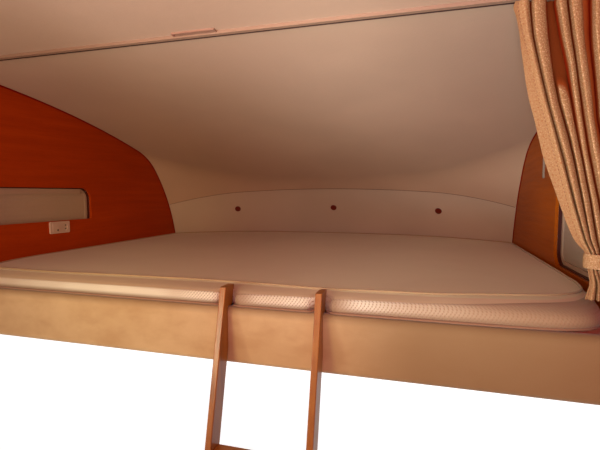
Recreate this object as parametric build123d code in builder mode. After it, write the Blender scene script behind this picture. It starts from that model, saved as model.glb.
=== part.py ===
from build123d import *
from math import acos, asin, cos, degrees, radians, sin, tan
import os

# Over-cab sleeping alcove of a motorhome, in millimetres.
# X runs across the vehicle to the right, Y forwards, Z up.
# The origin is on the underside of the alcove floor, midway between the walls,
# below the open edge of the bed.

# Plan and height of the sleeping space
BED_HALF = 1050.0        # middle of the bed to the face of either side panel
REAR_Y = -450.0          # where the module joins the living area
REAR_OVERRUN = 20.0      # of the bowed forms, before they are cut off square
CEILING_Z = 963.0        # level ceiling behind the track
ROOF_START_Y = -400.0    # from here forwards the ceiling falls

# Side profile of the lining, as three arcs that run into each other
ROOF_R = 4750.0
SHOULDER_R = 360.0
NOSE_R = 1000.0
SHOULDER_END = 50.0      # slope in degrees where the shoulder ends
SHOULDER_Y = 1005.0      # start of the shoulder at the side panels
NOSE_BOW = 416.0         # how much further forward it starts in the middle
BOW_POWER = 3.0

# Walls and skins
LINING_T = 6.0
SKIN_GAP = 0.5           # between the lining and the shell behind it
SHELL_T = 30.0
PANEL_T = 12.0
WALL_T = 30.0
FLOOR_T = 30.0
SEAM_GAP = 2.0

# Arched seam between the ceiling lining and the nose lining
SEAM_MID_Z = 528.0
SEAM_SIDE_Z = 423.0
SEAM_FLAT_HALF = 600.0
SEAM_FLAT_DROP = 20.0
SEAM_OVERRUN = 100.0     # of the cutting form, past the side panels

# Bed
FASCIA_T = 38.0
FASCIA_H = 168.0
FASCIA_FRONT_Y = -58.0
FASCIA_R = 5.0
FRAME_H = 68.0
BEARER_W = 30.0
BEARER_COUNT = 5
BEARER_INSET = 50.0      # from the side panels to the middle of the outer bearers
CROSS_RAIL_YS = (-5.0, 660.0, 1310.0)
DECK_T = 12.0
VENT_D = 38.0
VENT_PITCH = 300.0
VENT_ROWS = 4
VENT_COLUMNS = 6
VENT_MID_Y = 680.0
MATTRESS_T = 118.0
MATTRESS_REAR_Y = 0.0
MATTRESS_CORNER_R = 110.0
SOFT_GAP = 6.0           # around the soft pieces
FIT_GAP = 0.3            # around the pieces that seat in or on others

# Side windows
WINDOW_REAR_Y = 50.0
WINDOW_FRONT_Y = 620.0
WINDOW_LOW_Z = 235.0
WINDOW_TOP_Z = 526.0
WINDOW_R = 55.0
LEFT_CUT_LOW_Z = 373.0   # the left panel covers the foot of its window
LEFT_CUT_LOW_R = 4.0
SLEEVE_T = 4.0
FLANGE_W = 24.0
FLANGE_T = 6.0
PANE_T = 4.0
BLIND_DEPTH = 28.0       # from the face of the side panel back to the blind
BLIND_T = 2.0
BLIND_RAIL_W = 14.0
BLIND_RAIL_T = 5.0
CASSETTE_H = 24.0
CASSETTE_T = 7.0

# Edge pieces
TRIM_W = 6.0
TRIM_T = 3.0
MOULDING_CAP = 8.0
MOULDING_LIP_W = 34.0
MOULDING_LIP_T = 5.0
MOULDING_R = 4.0
SKIRT_H = 42.0

# Caps on the nose lining
CAP_D = 40.0
CAP_T = 4.0
CAP_R = 1.5
CAP_SEAT = 0.6           # off the lining in the middle, so that the rim nearly meets it
CAP_XS = (-665.0, 0.0, 665.0)
CAP_ZS = (393.0, 406.0, 393.0)

# Curtain and its track
TRACK_Y = -60.0
TRACK_DEPTH = 20.0
TRACK_H = 9.0
TRACK_SLOT_W = 6.0
TRACK_SLOT_H = 5.0
TRACK_SLOT_OFFSET = 5.0  # forward of the middle of the track
TRACK_END_GAP = 4.0      # from the side panels to the ends of the track
JOINT_X = -52.0
JOINT_L = 134.0
JOINT_W = 17.0
JOINT_T = 5.0
JOINT_R = 2.0
FOLDS = 8
CURTAIN_BOTTOM_Z = 264.0
WAIST_LOW_Z = 334.0
WAIST_H = 32.0
WAIST_Y = -92.0
TIE_T = 3.0
HOOK_D = 24.0
HOOK_T = 4.0
HOOK_STEM_D = 8.0

# Small fittings on the side panels
LAMP_Y = 792.0
LAMP_LOW_Z = 562.0
LAMP_L = 170.0
LAMP_W = 12.0
LAMP_T = 7.0
LAMP_R = 2.5
PLATE_Y = 415.0
PLATE_Z = 343.0
PLATE_L = 110.0
PLATE_H = 54.0
PLATE_T = 7.0
PLATE_R = 5.0
PLATE_UNIT_OFFSET = 26.0
ROCKER_W = 34.0
ROCKER_H = 36.0
ROCKER_T = 2.5
SOCKET_D = 36.0
SOCKET_DEPTH = 4.0

# Marker lamps on the outside of the nose
MARKER_INSET = 230.0     # from the side panels to the middle of either lamp
MARKER_Z = 620.0
MARKER_W = 96.0
MARKER_H = 34.0
MARKER_PROUD = 16.0

# Ladder
LADDER_X = 165.5
LADDER_W = 304.0
RAIL_T = 19.0
RAIL_DEPTH = 54.0        # square to its length
RAIL_R = 3.0
LADDER_LEAN = 13.9       # degrees out from upright
HEAD_TOP_Z = 229.0
HEAD_FRONT_Y = -70.0
LIVING_FLOOR_Z = -1150.0
TOP_TREAD_Z = -208.0
TREAD_COUNT = 4
TREAD_T = 18.0
TREAD_NOSE = 8.0         # how far a tread stands out in front of the rails
TREAD_R = 5.0
SHOE_SOLE = 8.0
SHOE_H = 26.0
SHOE_WALL = 3.0
HOOK_PLATE_T = 3.0
HOOK_PLATE_W = 13.0
HOOK_PLATE_REACH = 3.3   # from the back of the fascia to the tongue
HOOK_PLATE_DROP = 24.0

# Sections of the bowed forms, as shares of the half width
STATIONS = (-1.0, -0.8, -0.45, 0.0, 0.45, 0.8, 1.0)

SIDES = (("left", -1), ("right", 1))
SHELL_IN = LINING_T + SKIN_GAP
SHELL_OUT = SHELL_IN + SHELL_T
DECK_TOP_Z = FLOOR_T + FRAME_H + DECK_T
MATTRESS_TOP_Z = DECK_TOP_Z + MATTRESS_T
FASCIA_BACK_Y = FASCIA_FRONT_Y + FASCIA_T
WALL_X = BED_HALF + PANEL_T
WALL_OUT_X = WALL_X + WALL_T
FAR_Y = SHOULDER_Y + NOSE_BOW + NOSE_R

os.makedirs("parts", exist_ok=True)


def save(part, name):
    """Label one piece and write it."""
    part.label = name
    export_step(part, f"parts/{name}.step")


def bow(x):
    """How far forward the shoulder starts at the distance x from the middle."""
    share = min(abs(x) / BED_HALF, 1.0)
    return SHOULDER_Y + NOSE_BOW * (1 - share**BOW_POWER)


def ceiling_height(y):
    """Height of the ceiling between its level part and the shoulder."""
    return CEILING_Z - ROOF_R + (ROOF_R**2 - (y - ROOF_START_Y) ** 2) ** 0.5


def side_profile(x, grow, rear=REAR_Y):
    """Closed side profile at station x, grown outwards from the face of the lining."""
    end = radians(SHOULDER_END)
    start = asin((bow(x) - ROOF_START_Y) / ROOF_R)
    roof = (ROOF_START_Y, CEILING_Z - ROOF_R)
    step_in = ROOF_R - SHOULDER_R
    shoulder = (roof[0] + step_in * sin(start), roof[1] + step_in * cos(start))
    step_out = SHOULDER_R - NOSE_R
    nose = (shoulder[0] + step_out * sin(end), shoulder[1] + step_out * cos(end))
    foot = acos(-nose[1] / (NOSE_R + grow))
    foot_y = nose[0] + (NOSE_R + grow) * sin(foot)
    with BuildSketch(Plane.YZ.offset(x), mode=Mode.PRIVATE) as profile:
        with BuildLine():
            Line((rear, 0), (rear, CEILING_Z + grow))
            Line((rear, CEILING_Z + grow), (ROOF_START_Y, CEILING_Z + grow))
            CenterArc(roof, ROOF_R + grow, 90 - degrees(start), degrees(start))
            CenterArc(shoulder, SHOULDER_R + grow, 90 - SHOULDER_END, SHOULDER_END - degrees(start))
            CenterArc(nose, NOSE_R + grow, 90 - degrees(foot), degrees(foot) - SHOULDER_END)
            Line((foot_y, 0), (rear, 0))
        make_face()
    return profile.sketch


def bowed_form(grow):
    """Solid of the whole alcove, grown outwards from the face of its lining."""
    with BuildPart(mode=Mode.PRIVATE) as form:
        for share in STATIONS:
            add(side_profile(share * BED_HALF, grow, REAR_Y - REAR_OVERRUN))
        loft()
        split(bisect_by=Plane.XZ.offset(-REAR_Y), keep=Keep.BOTTOM)
    return form.part


def bend_centre(edge):
    """Place of an arc's centre, to tell the arcs of one bend from the others."""
    return round(edge.arc_center.Y)


def window_outline(x, shrink, low=WINDOW_LOW_Z, low_radius=WINDOW_R):
    """Window outline on the plane at x, drawn in by shrink."""
    centre = ((WINDOW_REAR_Y + WINDOW_FRONT_Y) / 2, (WINDOW_TOP_Z + low) / 2)
    with BuildSketch(Plane.YZ.offset(x), mode=Mode.PRIVATE) as outline:
        with Locations(centre):
            Rectangle(
                WINDOW_FRONT_Y - WINDOW_REAR_Y - 2 * shrink,
                WINDOW_TOP_Z - low - 2 * shrink,
            )
        fillet(outline.vertices().group_by(Axis.Y)[-1], WINDOW_R - shrink)
        fillet(outline.vertices().group_by(Axis.Y)[0], low_radius - shrink)
    return outline.sketch


def seam_region(raise_by, low):
    """Everything below the arched seam, through the whole depth of the nose."""
    flat_r = (SEAM_FLAT_HALF**2 + SEAM_FLAT_DROP**2) / (2 * SEAM_FLAT_DROP)
    slope = asin(SEAM_FLAT_HALF / flat_r)
    knee_z = SEAM_MID_Z - SEAM_FLAT_DROP + raise_by
    side_z = SEAM_SIDE_Z + raise_by
    far_x = BED_HALF + SEAM_OVERRUN
    with BuildPart(mode=Mode.PRIVATE) as region:
        with BuildSketch(Plane.XZ.offset(-FAR_Y)):
            with BuildLine():
                TangentArc((SEAM_FLAT_HALF, knee_z), (BED_HALF, side_z), tangent=(cos(slope), -sin(slope)))
                ThreePointArc((-SEAM_FLAT_HALF, knee_z), (0, SEAM_MID_Z + raise_by), (SEAM_FLAT_HALF, knee_z))
                TangentArc((-SEAM_FLAT_HALF, knee_z), (-BED_HALF, side_z), tangent=(-cos(slope), -sin(slope)))
                Polyline(
                    (-BED_HALF, side_z),
                    (-far_x, side_z),
                    (-far_x, low),
                    (far_x, low),
                    (far_x, side_z),
                    (BED_HALF, side_z),
                )
            make_face()
        extrude(amount=FAR_Y - SHOULDER_Y / 2)
    return region.part


lining_face = bowed_form(0)
lining_back = bowed_form(LINING_T)
shell_face = bowed_form(SHELL_IN)
shell_back = bowed_form(SHELL_OUT)
bed_limit = bowed_form(-SOFT_GAP)

# Roof and nose: one bowed sandwich shell
with BuildPart() as nose_shell:
    add(shell_back)
    add(shell_face, mode=Mode.SUBTRACT)
save(nose_shell.part, "nose_shell")

# Linings above and below the arched seam
with BuildPart() as ceiling_lining:
    add(lining_back)
    add(lining_face, mode=Mode.SUBTRACT)
    add(seam_region(SEAM_GAP, 0), mode=Mode.SUBTRACT)
save(ceiling_lining.part, "ceiling_lining")

with BuildPart() as nose_lining:
    add(lining_back)
    add(lining_face, mode=Mode.SUBTRACT)
    add(seam_region(0, FLOOR_T), mode=Mode.INTERSECT)
save(nose_lining.part, "nose_lining")

# Round caps pushed into the nose lining, square to its face
with BuildPart() as lining_caps:
    for cap_x, cap_z in zip(CAP_XS, CAP_ZS):
        sight_line = Axis((cap_x, FAR_Y, cap_z), (0, -1, 0))
        seat, outwards = lining_face.find_intersection_points(sight_line)[0]
        cap_plane = Plane(origin=seat - outwards * CAP_SEAT, z_dir=-outwards)
        with BuildSketch(cap_plane):
            Circle(CAP_D / 2)
        extrude(amount=CAP_T)
        front_rim = lining_caps.edges(Select.LAST).sort_by(Axis(cap_plane.origin, cap_plane.z_dir))[-1]
        fillet(front_rim, CAP_R)
save(lining_caps.part, "lining_caps")

# Marker lamps seated on the outside of the nose
marker_front = bowed_form(SHELL_OUT + MARKER_PROUD)
marker_back = bowed_form(SHELL_OUT + FIT_GAP)
with BuildPart() as marker_lamps:
    with BuildSketch(Plane.XZ.offset(-FAR_Y)):
        with Locations((0, MARKER_Z)):
            with GridLocations(2 * (BED_HALF - MARKER_INSET), 0, 2, 1):
                SlotOverall(MARKER_W, MARKER_H)
    extrude(amount=FAR_Y - SHOULDER_Y)
    add(marker_front, mode=Mode.INTERSECT)
    add(marker_back, mode=Mode.SUBTRACT)
save(marker_lamps.part, "marker_lamps")

# Moulding along the foot of the nose, between the corner mouldings
skirt_front = bowed_form(SHELL_OUT + MOULDING_CAP)
skirt_back = bowed_form(SHELL_OUT + FIT_GAP)
with BuildPart() as nose_skirt:
    add(skirt_front)
    add(skirt_back, mode=Mode.SUBTRACT)
    with Locations((0, SHOULDER_Y, 0)):
        Box(2 * BED_HALF, FAR_Y, SKIRT_H, align=(Align.CENTER, Align.MIN, Align.MIN), mode=Mode.INTERSECT)
    top_edges = nose_skirt.faces().sort_by(Axis.Z)[-1].edges()
    fillet(top_edges.sort_by(Axis.Y)[-1], MOULDING_R)
save(nose_skirt.part, "nose_skirt")

# Panel cut-outs, one row for each side: lower edge, radius of the lower corners
PANEL_CUTS = {
    "left": (LEFT_CUT_LOW_Z, LEFT_CUT_LOW_R),
    "right": (WINDOW_LOW_Z, WINDOW_R),
}

for name, side in SIDES:
    cut_low, cut_radius = PANEL_CUTS[name]

    # Sandwich wall with its window opening
    with BuildPart() as side_wall:
        extrude(side_profile(side * WALL_X, SHELL_OUT), amount=side * WALL_T)
        extrude(window_outline(side * WALL_X, 0), amount=side * WALL_T, mode=Mode.SUBTRACT)
    save(side_wall.part, f"side_wall_{name}")

    # Wooden panel on the inside of the wall
    with BuildPart() as side_panel:
        extrude(side_profile(side * BED_HALF, SHELL_OUT), amount=side * PANEL_T)
        cut = window_outline(side * BED_HALF, 0, cut_low, cut_radius)
        extrude(cut, amount=side * PANEL_T, mode=Mode.SUBTRACT)
    save(side_panel.part, f"side_panel_{name}")

    # Dark strip along the curved edge of the panel
    with BuildPart() as panel_trim:
        extrude(side_profile(side * BED_HALF, -FIT_GAP), amount=-side * TRIM_T)
        cut = side_profile(side * BED_HALF, -FIT_GAP - TRIM_W)
        extrude(cut, amount=-side * TRIM_T, mode=Mode.SUBTRACT)
        with Locations((side * BED_HALF, TRACK_Y + TRACK_DEPTH, DECK_TOP_Z)):
            Box(
                4 * TRIM_T,
                FAR_Y,
                CEILING_Z,
                align=(Align.CENTER, Align.MIN, Align.MIN),
                mode=Mode.INTERSECT,
            )
    save(panel_trim.part, f"panel_trim_{name}")

    # Rounded moulding that covers the outer corner between wall and shell
    with BuildPart() as corner_moulding:
        start_x = side * (BED_HALF + SKIN_GAP)
        cap_w = WALL_OUT_X + MOULDING_LIP_T - BED_HALF - SKIN_GAP
        extrude(side_profile(start_x, SHELL_OUT + MOULDING_CAP), amount=side * cap_w)
        core_w = WALL_OUT_X + FIT_GAP - BED_HALF - SKIN_GAP
        core = side_profile(start_x, SHELL_OUT + FIT_GAP)
        extrude(core, amount=side * core_w, mode=Mode.SUBTRACT)
        open_face = side_profile(start_x, SHELL_OUT - MOULDING_LIP_W)
        extrude(open_face, amount=side * 2 * cap_w, mode=Mode.SUBTRACT)
        lip_face = corner_moulding.faces().sort_by(Axis.X)[-1 if side > 0 else 0]
        lip_arcs = lip_face.edges().filter_by(GeomType.CIRCLE)
        outer_arcs = [max(pair, key=lambda e: e.radius) for pair in lip_arcs.group_by(bend_centre)]
        roof_line = lip_face.edges().filter_by(Axis.Y).sort_by(Axis.Z)[-1]
        fillet([*outer_arcs, roof_line], MOULDING_R)
    save(corner_moulding.part, f"corner_moulding_{name}")

    # Window frame: a sleeve through the wall and a flange outside it
    with BuildPart() as window_frame:
        extrude(window_outline(side * WALL_X, FIT_GAP), amount=side * (WALL_T + FIT_GAP))
        flange = window_outline(side * (WALL_OUT_X + FIT_GAP), -FLANGE_W)
        extrude(flange, amount=side * FLANGE_T)
        opening = window_outline(side * WALL_X, FIT_GAP + SLEEVE_T)
        extrude(opening, amount=side * 2 * WALL_T, mode=Mode.SUBTRACT)
    save(window_frame.part, f"window_frame_{name}")

    # Acrylic pane inside the flange
    with BuildPart() as window_pane:
        pane = window_outline(side * WALL_OUT_X, 2 * FIT_GAP + SLEEVE_T)
        extrude(pane, amount=side * PANE_T)
    save(window_pane.part, f"window_pane_{name}")

    # Closed blind: a sheet in its rails below a cassette
    sheet_x = side * (BED_HALF + BLIND_DEPTH)
    blind_shrink = 2 * FIT_GAP + SLEEVE_T
    with BuildPart() as window_blind:
        extrude(window_outline(sheet_x, blind_shrink), amount=side * BLIND_T)
        extrude(window_outline(sheet_x, blind_shrink), amount=-side * BLIND_RAIL_T)
        field = window_outline(sheet_x, blind_shrink + BLIND_RAIL_W)
        extrude(field, amount=-side * BLIND_RAIL_T, mode=Mode.SUBTRACT)
        with Locations((sheet_x, (WINDOW_REAR_Y + WINDOW_FRONT_Y) / 2, WINDOW_TOP_Z - blind_shrink)):
            Box(
                BLIND_RAIL_T + CASSETTE_T,
                WINDOW_FRONT_Y - WINDOW_REAR_Y - 2 * WINDOW_R,
                CASSETTE_H,
                align=(Align.MAX if side > 0 else Align.MIN, Align.CENTER, Align.MAX),
            )
    save(window_blind.part, f"window_blind_{name}")

# Floor of the alcove, let in between the walls
with BuildPart() as alcove_floor:
    with Locations((0, FASCIA_BACK_Y, 0)):
        Box(2 * BED_HALF, FAR_Y, FLOOR_T, align=(Align.CENTER, Align.MIN, Align.MIN))
    add(lining_back, mode=Mode.INTERSECT)
save(alcove_floor.part, "alcove_floor")

# Timber frame under the bed: bearers fore and aft, and rails across
bearer_pitch = 2 * (BED_HALF - BEARER_INSET) / (BEARER_COUNT - 1)
with BuildPart() as bed_frame:
    with Locations((0, FASCIA_BACK_Y, FLOOR_T)):
        with GridLocations(bearer_pitch, 0, BEARER_COUNT, 1):
            Box(BEARER_W, FAR_Y, FRAME_H, align=(Align.CENTER, Align.MIN, Align.MIN))
    for rail_y in CROSS_RAIL_YS:
        with Locations((0, rail_y, FLOOR_T)):
            Box(2 * BED_HALF, BEARER_W, FRAME_H, align=(Align.CENTER, Align.CENTER, Align.MIN))
    add(bed_limit, mode=Mode.INTERSECT)
save(bed_frame.part, "bed_frame")

# Deck board with ventilation holes
with BuildPart() as bed_deck:
    with Locations((0, FASCIA_BACK_Y, FLOOR_T + FRAME_H)):
        Box(2 * BED_HALF, FAR_Y, DECK_T, align=(Align.CENTER, Align.MIN, Align.MIN))
    add(bed_limit, mode=Mode.INTERSECT)
    with Locations((0, VENT_MID_Y, DECK_TOP_Z)):
        with GridLocations(VENT_PITCH, VENT_PITCH, VENT_COLUMNS, VENT_ROWS):
            Hole(VENT_D / 2, DECK_T)
save(bed_deck.part, "bed_deck")

# Mattress, cut to the bow of the nose
with BuildPart() as mattress:
    with Locations((0, MATTRESS_REAR_Y, DECK_TOP_Z)):
        Box(2 * (BED_HALF - SOFT_GAP), FAR_Y, MATTRESS_T, align=(Align.CENTER, Align.MIN, Align.MIN))
    near_corners = mattress.edges().filter_by(Axis.Z).group_by(Axis.Y)[0]
    fillet(near_corners, MATTRESS_CORNER_R)
    add(bed_limit, mode=Mode.INTERSECT)
save(mattress.part, "mattress")

# Upholstered board across the open edge of the bed
with BuildPart() as fascia:
    with Locations((0, FASCIA_FRONT_Y, 0)):
        Box(2 * (BED_HALF - FIT_GAP), FASCIA_T, FASCIA_H, align=(Align.CENTER, Align.MIN, Align.MIN))
    front_edges = fascia.edges().filter_by(Axis.X).group_by(Axis.Y)[0]
    fillet(front_edges, FASCIA_R)
save(fascia.part, "fascia")

# Curtain track, tilted with the ceiling that it hangs from
ceiling_slope = asin((TRACK_Y - ROOF_START_Y) / ROOF_R)
track_half = BED_HALF - TRACK_END_GAP
track_plane = Plane(
    origin=(-track_half, TRACK_Y, ceiling_height(TRACK_Y) - FIT_GAP),
    x_dir=(0, cos(ceiling_slope), -sin(ceiling_slope)),
    z_dir=(1, 0, 0),
)
with BuildPart() as curtain_track:
    with BuildSketch(track_plane):
        with Locations((0, -TRACK_H / 2)):
            Rectangle(TRACK_DEPTH, TRACK_H)
        with Locations((TRACK_SLOT_OFFSET, -TRACK_H)):
            Rectangle(TRACK_SLOT_W, 2 * TRACK_SLOT_H, mode=Mode.SUBTRACT)
    extrude(amount=2 * track_half)
save(curtain_track.part, "curtain_track")

# Small plate beside the joint of the two track lengths
joint_plane = Plane(
    origin=track_plane.from_local_coords((-(TRACK_DEPTH + JOINT_W) / 2 - FIT_GAP, 0, track_half + JOINT_X)),
    x_dir=track_plane.x_dir,
    z_dir=(1, 0, 0),
)
with BuildPart() as track_joint:
    with BuildSketch(joint_plane):
        with Locations((0, -JOINT_T / 2)):
            Rectangle(JOINT_W, JOINT_T)
    extrude(amount=JOINT_L / 2, both=True)
    fillet(track_joint.edges().filter_by(Axis.X).group_by(Axis.Z)[0], JOINT_R)
save(track_joint.part, "track_joint")

# Curtain drawn to the right, one row for each height:
# height, left and right edge back from the right panel, middle Y, half depth, fold bulge
track_foot_z = track_plane.from_local_coords((TRACK_DEPTH / 2, -TRACK_H, 0)).Z
WAIST = (124.0, 10.0, WAIST_Y, 17.0, 5.0)
CURTAIN_ROWS = (
    (track_foot_z - FIT_GAP, 282.0, 12.0, TRACK_Y, 13.0, 8.0),
    (700.0, 239.0, 12.0, -68.0, 15.0, 8.0),
    (474.0, 177.0, 12.0, -82.0, 17.0, 7.0),
    (WAIST_LOW_Z + WAIST_H, *WAIST),
    (WAIST_LOW_Z, *WAIST),
    (CURTAIN_BOTTOM_Z, 124.0, 8.0, WAIST_Y, 20.0, 6.5),
)


def fold_row(z, left_inset, right_inset, middle, half_depth, bulge):
    """Outline of the gathered folds at one height."""
    left = BED_HALF - left_inset
    right = BED_HALF - right_inset
    pitch = (right - left) / FOLDS
    with BuildSketch(Plane.XY.offset(z), mode=Mode.PRIVATE) as row:
        with BuildLine():
            for fold_side in (-1, 1):
                y = middle + fold_side * half_depth
                for fold in range(FOLDS):
                    x = left + fold * pitch
                    crest = (x + pitch / 2, y + fold_side * bulge)
                    ThreePointArc((x, y), crest, (x + pitch, y))
            Line((left, middle - half_depth), (left, middle + half_depth))
            Line((right, middle - half_depth), (right, middle + half_depth))
        make_face()
    return row.sketch


with BuildPart() as curtain:
    for row in CURTAIN_ROWS:
        add(fold_row(*row))
    loft(ruled=True)
save(curtain.part, "curtain")

# Band round the waist of the curtain, and the hook that holds it
waist_left_inset, waist_right_inset, waist_middle, waist_depth, waist_bulge = WAIST
waist_mid_x = BED_HALF - (waist_left_inset + waist_right_inset) / 2
band_w = waist_left_inset - waist_right_inset + 2 * FIT_GAP
band_d = 2 * (waist_depth + waist_bulge + FIT_GAP)
with BuildPart() as curtain_tieback:
    with BuildSketch(Plane.XY.offset(WAIST_LOW_Z)):
        with Locations((waist_mid_x, waist_middle)):
            RectangleRounded(band_w + 2 * TIE_T, band_d + 2 * TIE_T, 4 * TIE_T)
            RectangleRounded(band_w, band_d, TIE_T, mode=Mode.SUBTRACT)
    extrude(amount=WAIST_H)
save(curtain_tieback.part, "curtain_tieback")

band_right_x = waist_mid_x + band_w / 2 + TIE_T
with BuildPart() as tieback_hook:
    with BuildSketch(Plane.YZ.offset(BED_HALF)):
        with Locations((WAIST_Y, WAIST_LOW_Z + WAIST_H / 2)):
            Circle(HOOK_D / 2)
    extrude(amount=-HOOK_T)
    with BuildSketch(Plane.YZ.offset(BED_HALF - HOOK_T)):
        with Locations((WAIST_Y, WAIST_LOW_Z + WAIST_H / 2)):
            Circle(HOOK_STEM_D / 2)
    extrude(amount=-(BED_HALF - HOOK_T - band_right_x - FIT_GAP))
save(tieback_hook.part, "tieback_hook")

# Slim reading lamp on the right panel
with BuildPart() as reading_lamp:
    with BuildSketch(Plane.YZ.offset(BED_HALF)):
        with Locations((LAMP_Y, LAMP_LOW_Z + LAMP_L / 2)):
            RectangleRounded(LAMP_W, LAMP_L, LAMP_W / 2 - FIT_GAP)
    extrude(amount=-LAMP_T)
    fillet(reading_lamp.faces().sort_by(Axis.X)[0].edges(), LAMP_R)
save(reading_lamp.part, "reading_lamp")

# Switch and socket plate on the left panel, below the window
with BuildPart() as switch_plate:
    with BuildSketch(Plane.YZ.offset(-BED_HALF)):
        with Locations((PLATE_Y, PLATE_Z)):
            RectangleRounded(PLATE_L, PLATE_H, PLATE_R)
    extrude(amount=PLATE_T)
    with BuildSketch(Plane.YZ.offset(-BED_HALF + PLATE_T)):
        with Locations((PLATE_Y - PLATE_UNIT_OFFSET, PLATE_Z)):
            Rectangle(ROCKER_W, ROCKER_H)
    extrude(amount=ROCKER_T)
    with BuildSketch(Plane.YZ.offset(-BED_HALF + PLATE_T)):
        with Locations((PLATE_Y + PLATE_UNIT_OFFSET, PLATE_Z)):
            Circle(SOCKET_D / 2)
    extrude(amount=-SOCKET_DEPTH, mode=Mode.SUBTRACT)
save(switch_plate.part, "switch_plate")

# Ladder that leans on the fascia
lean = tan(radians(LADDER_LEAN))
rail_run = RAIL_DEPTH / cos(radians(LADDER_LEAN))
SHOULDER_Z = FASCIA_H + FIT_GAP + HOOK_PLATE_T
NOTCH_Y = FASCIA_FRONT_Y - FIT_GAP
FOOT_Z = LIVING_FLOOR_Z + SHOE_SOLE


def rail_front(z):
    """Y of the rails' front edge at the height z."""
    return HEAD_FRONT_Y - lean * (HEAD_TOP_Z - z)


def rail_back(z):
    """Y of the rails' back edge at the height z."""
    return rail_front(z) + rail_run


notch_low_z = HEAD_TOP_Z - (rail_back(HEAD_TOP_Z) - NOTCH_Y) / lean
RAIL_XS = {
    "left": LADDER_X - LADDER_W / 2,
    "right": LADDER_X + LADDER_W / 2 - RAIL_T,
}

for name, rail_x in RAIL_XS.items():
    with BuildPart() as ladder_rail:
        with BuildSketch(Plane.YZ.offset(rail_x)):
            with BuildLine():
                Polyline(
                    (rail_front(HEAD_TOP_Z), HEAD_TOP_Z),
                    (rail_back(HEAD_TOP_Z), HEAD_TOP_Z),
                    (rail_back(SHOULDER_Z), SHOULDER_Z),
                    (NOTCH_Y, SHOULDER_Z),
                    (NOTCH_Y, notch_low_z),
                    (rail_back(FOOT_Z), FOOT_Z),
                    (rail_front(FOOT_Z), FOOT_Z),
                    close=True,
                )
            make_face()
        extrude(amount=RAIL_T)
        long_edges = ladder_rail.edges().sort_by(SortBy.LENGTH)[-2:]
        fillet(long_edges, RAIL_R)
    save(ladder_rail.part, f"ladder_rail_{name}")

tread_pitch = (TOP_TREAD_Z - LIVING_FLOOR_Z) / TREAD_COUNT
tread_length = LADDER_W - 2 * RAIL_T
with BuildPart() as ladder_treads:
    for step in range(TREAD_COUNT):
        top_z = TOP_TREAD_Z - step * tread_pitch
        front_y = rail_front(top_z) - TREAD_NOSE
        back_y = rail_back(top_z - TREAD_T)
        with BuildSketch(Plane.YZ.offset(RAIL_XS["left"] + RAIL_T)) as tread:
            with Locations(((front_y + back_y) / 2, top_z - TREAD_T / 2)):
                Rectangle(back_y - front_y, TREAD_T)
            fillet(tread.vertices().group_by(Axis.Y)[0], TREAD_R)
        extrude(amount=tread_length)
save(ladder_treads.part, "ladder_treads")

# Rubber shoes on the feet of the rails
with BuildPart() as ladder_shoes:
    for rail_x in RAIL_XS.values():
        with BuildSketch(Plane.YZ.offset(rail_x - SHOE_WALL)):
            with BuildLine():
                Polyline(
                    (rail_front(LIVING_FLOOR_Z) - SHOE_WALL, LIVING_FLOOR_Z),
                    (rail_front(LIVING_FLOOR_Z + SHOE_H) - SHOE_WALL, LIVING_FLOOR_Z + SHOE_H),
                    (rail_back(LIVING_FLOOR_Z + SHOE_H) + SHOE_WALL, LIVING_FLOOR_Z + SHOE_H),
                    (rail_back(LIVING_FLOOR_Z) + SHOE_WALL, LIVING_FLOOR_Z),
                    close=True,
                )
            make_face()
        extrude(amount=RAIL_T + 2 * SHOE_WALL)
        with BuildSketch(Plane.YZ.offset(rail_x)):
            with BuildLine():
                Polyline(
                    (rail_front(FOOT_Z), FOOT_Z),
                    (rail_front(FOOT_Z + SHOE_H), FOOT_Z + SHOE_H),
                    (rail_back(FOOT_Z + SHOE_H), FOOT_Z + SHOE_H),
                    (rail_back(FOOT_Z), FOOT_Z),
                    close=True,
                )
            make_face()
        extrude(amount=RAIL_T, mode=Mode.SUBTRACT)
save(ladder_shoes.part, "ladder_shoes")

# Steel hook plates under the heads, each with a tongue behind the fascia
tongue_y = FASCIA_BACK_Y + HOOK_PLATE_REACH
with BuildPart() as ladder_hooks:
    for rail_x in RAIL_XS.values():
        with BuildSketch(Plane.YZ.offset(rail_x + (RAIL_T - HOOK_PLATE_W) / 2)):
            with BuildLine():
                Polyline(
                    (NOTCH_Y, SHOULDER_Z),
                    (tongue_y + HOOK_PLATE_T, SHOULDER_Z),
                    (tongue_y + HOOK_PLATE_T, SHOULDER_Z - HOOK_PLATE_DROP),
                    (tongue_y, SHOULDER_Z - HOOK_PLATE_DROP),
                    (tongue_y, SHOULDER_Z - HOOK_PLATE_T),
                    (NOTCH_Y, SHOULDER_Z - HOOK_PLATE_T),
                    close=True,
                )
            make_face()
        extrude(amount=HOOK_PLATE_W)
save(ladder_hooks.part, "ladder_hooks")
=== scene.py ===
"""Looks of a motorhome's over-cab sleeping alcove, dressed round its CAD frame.

Metres, in the frame of the CAD model: X across to the right, Y forwards, Z up.
"""
import logging
import math
from bisect import bisect_left
from collections.abc import Callable, Sequence
from dataclasses import dataclass
from enum import Enum
from functools import cache

import bpy
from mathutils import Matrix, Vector, noise


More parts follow.
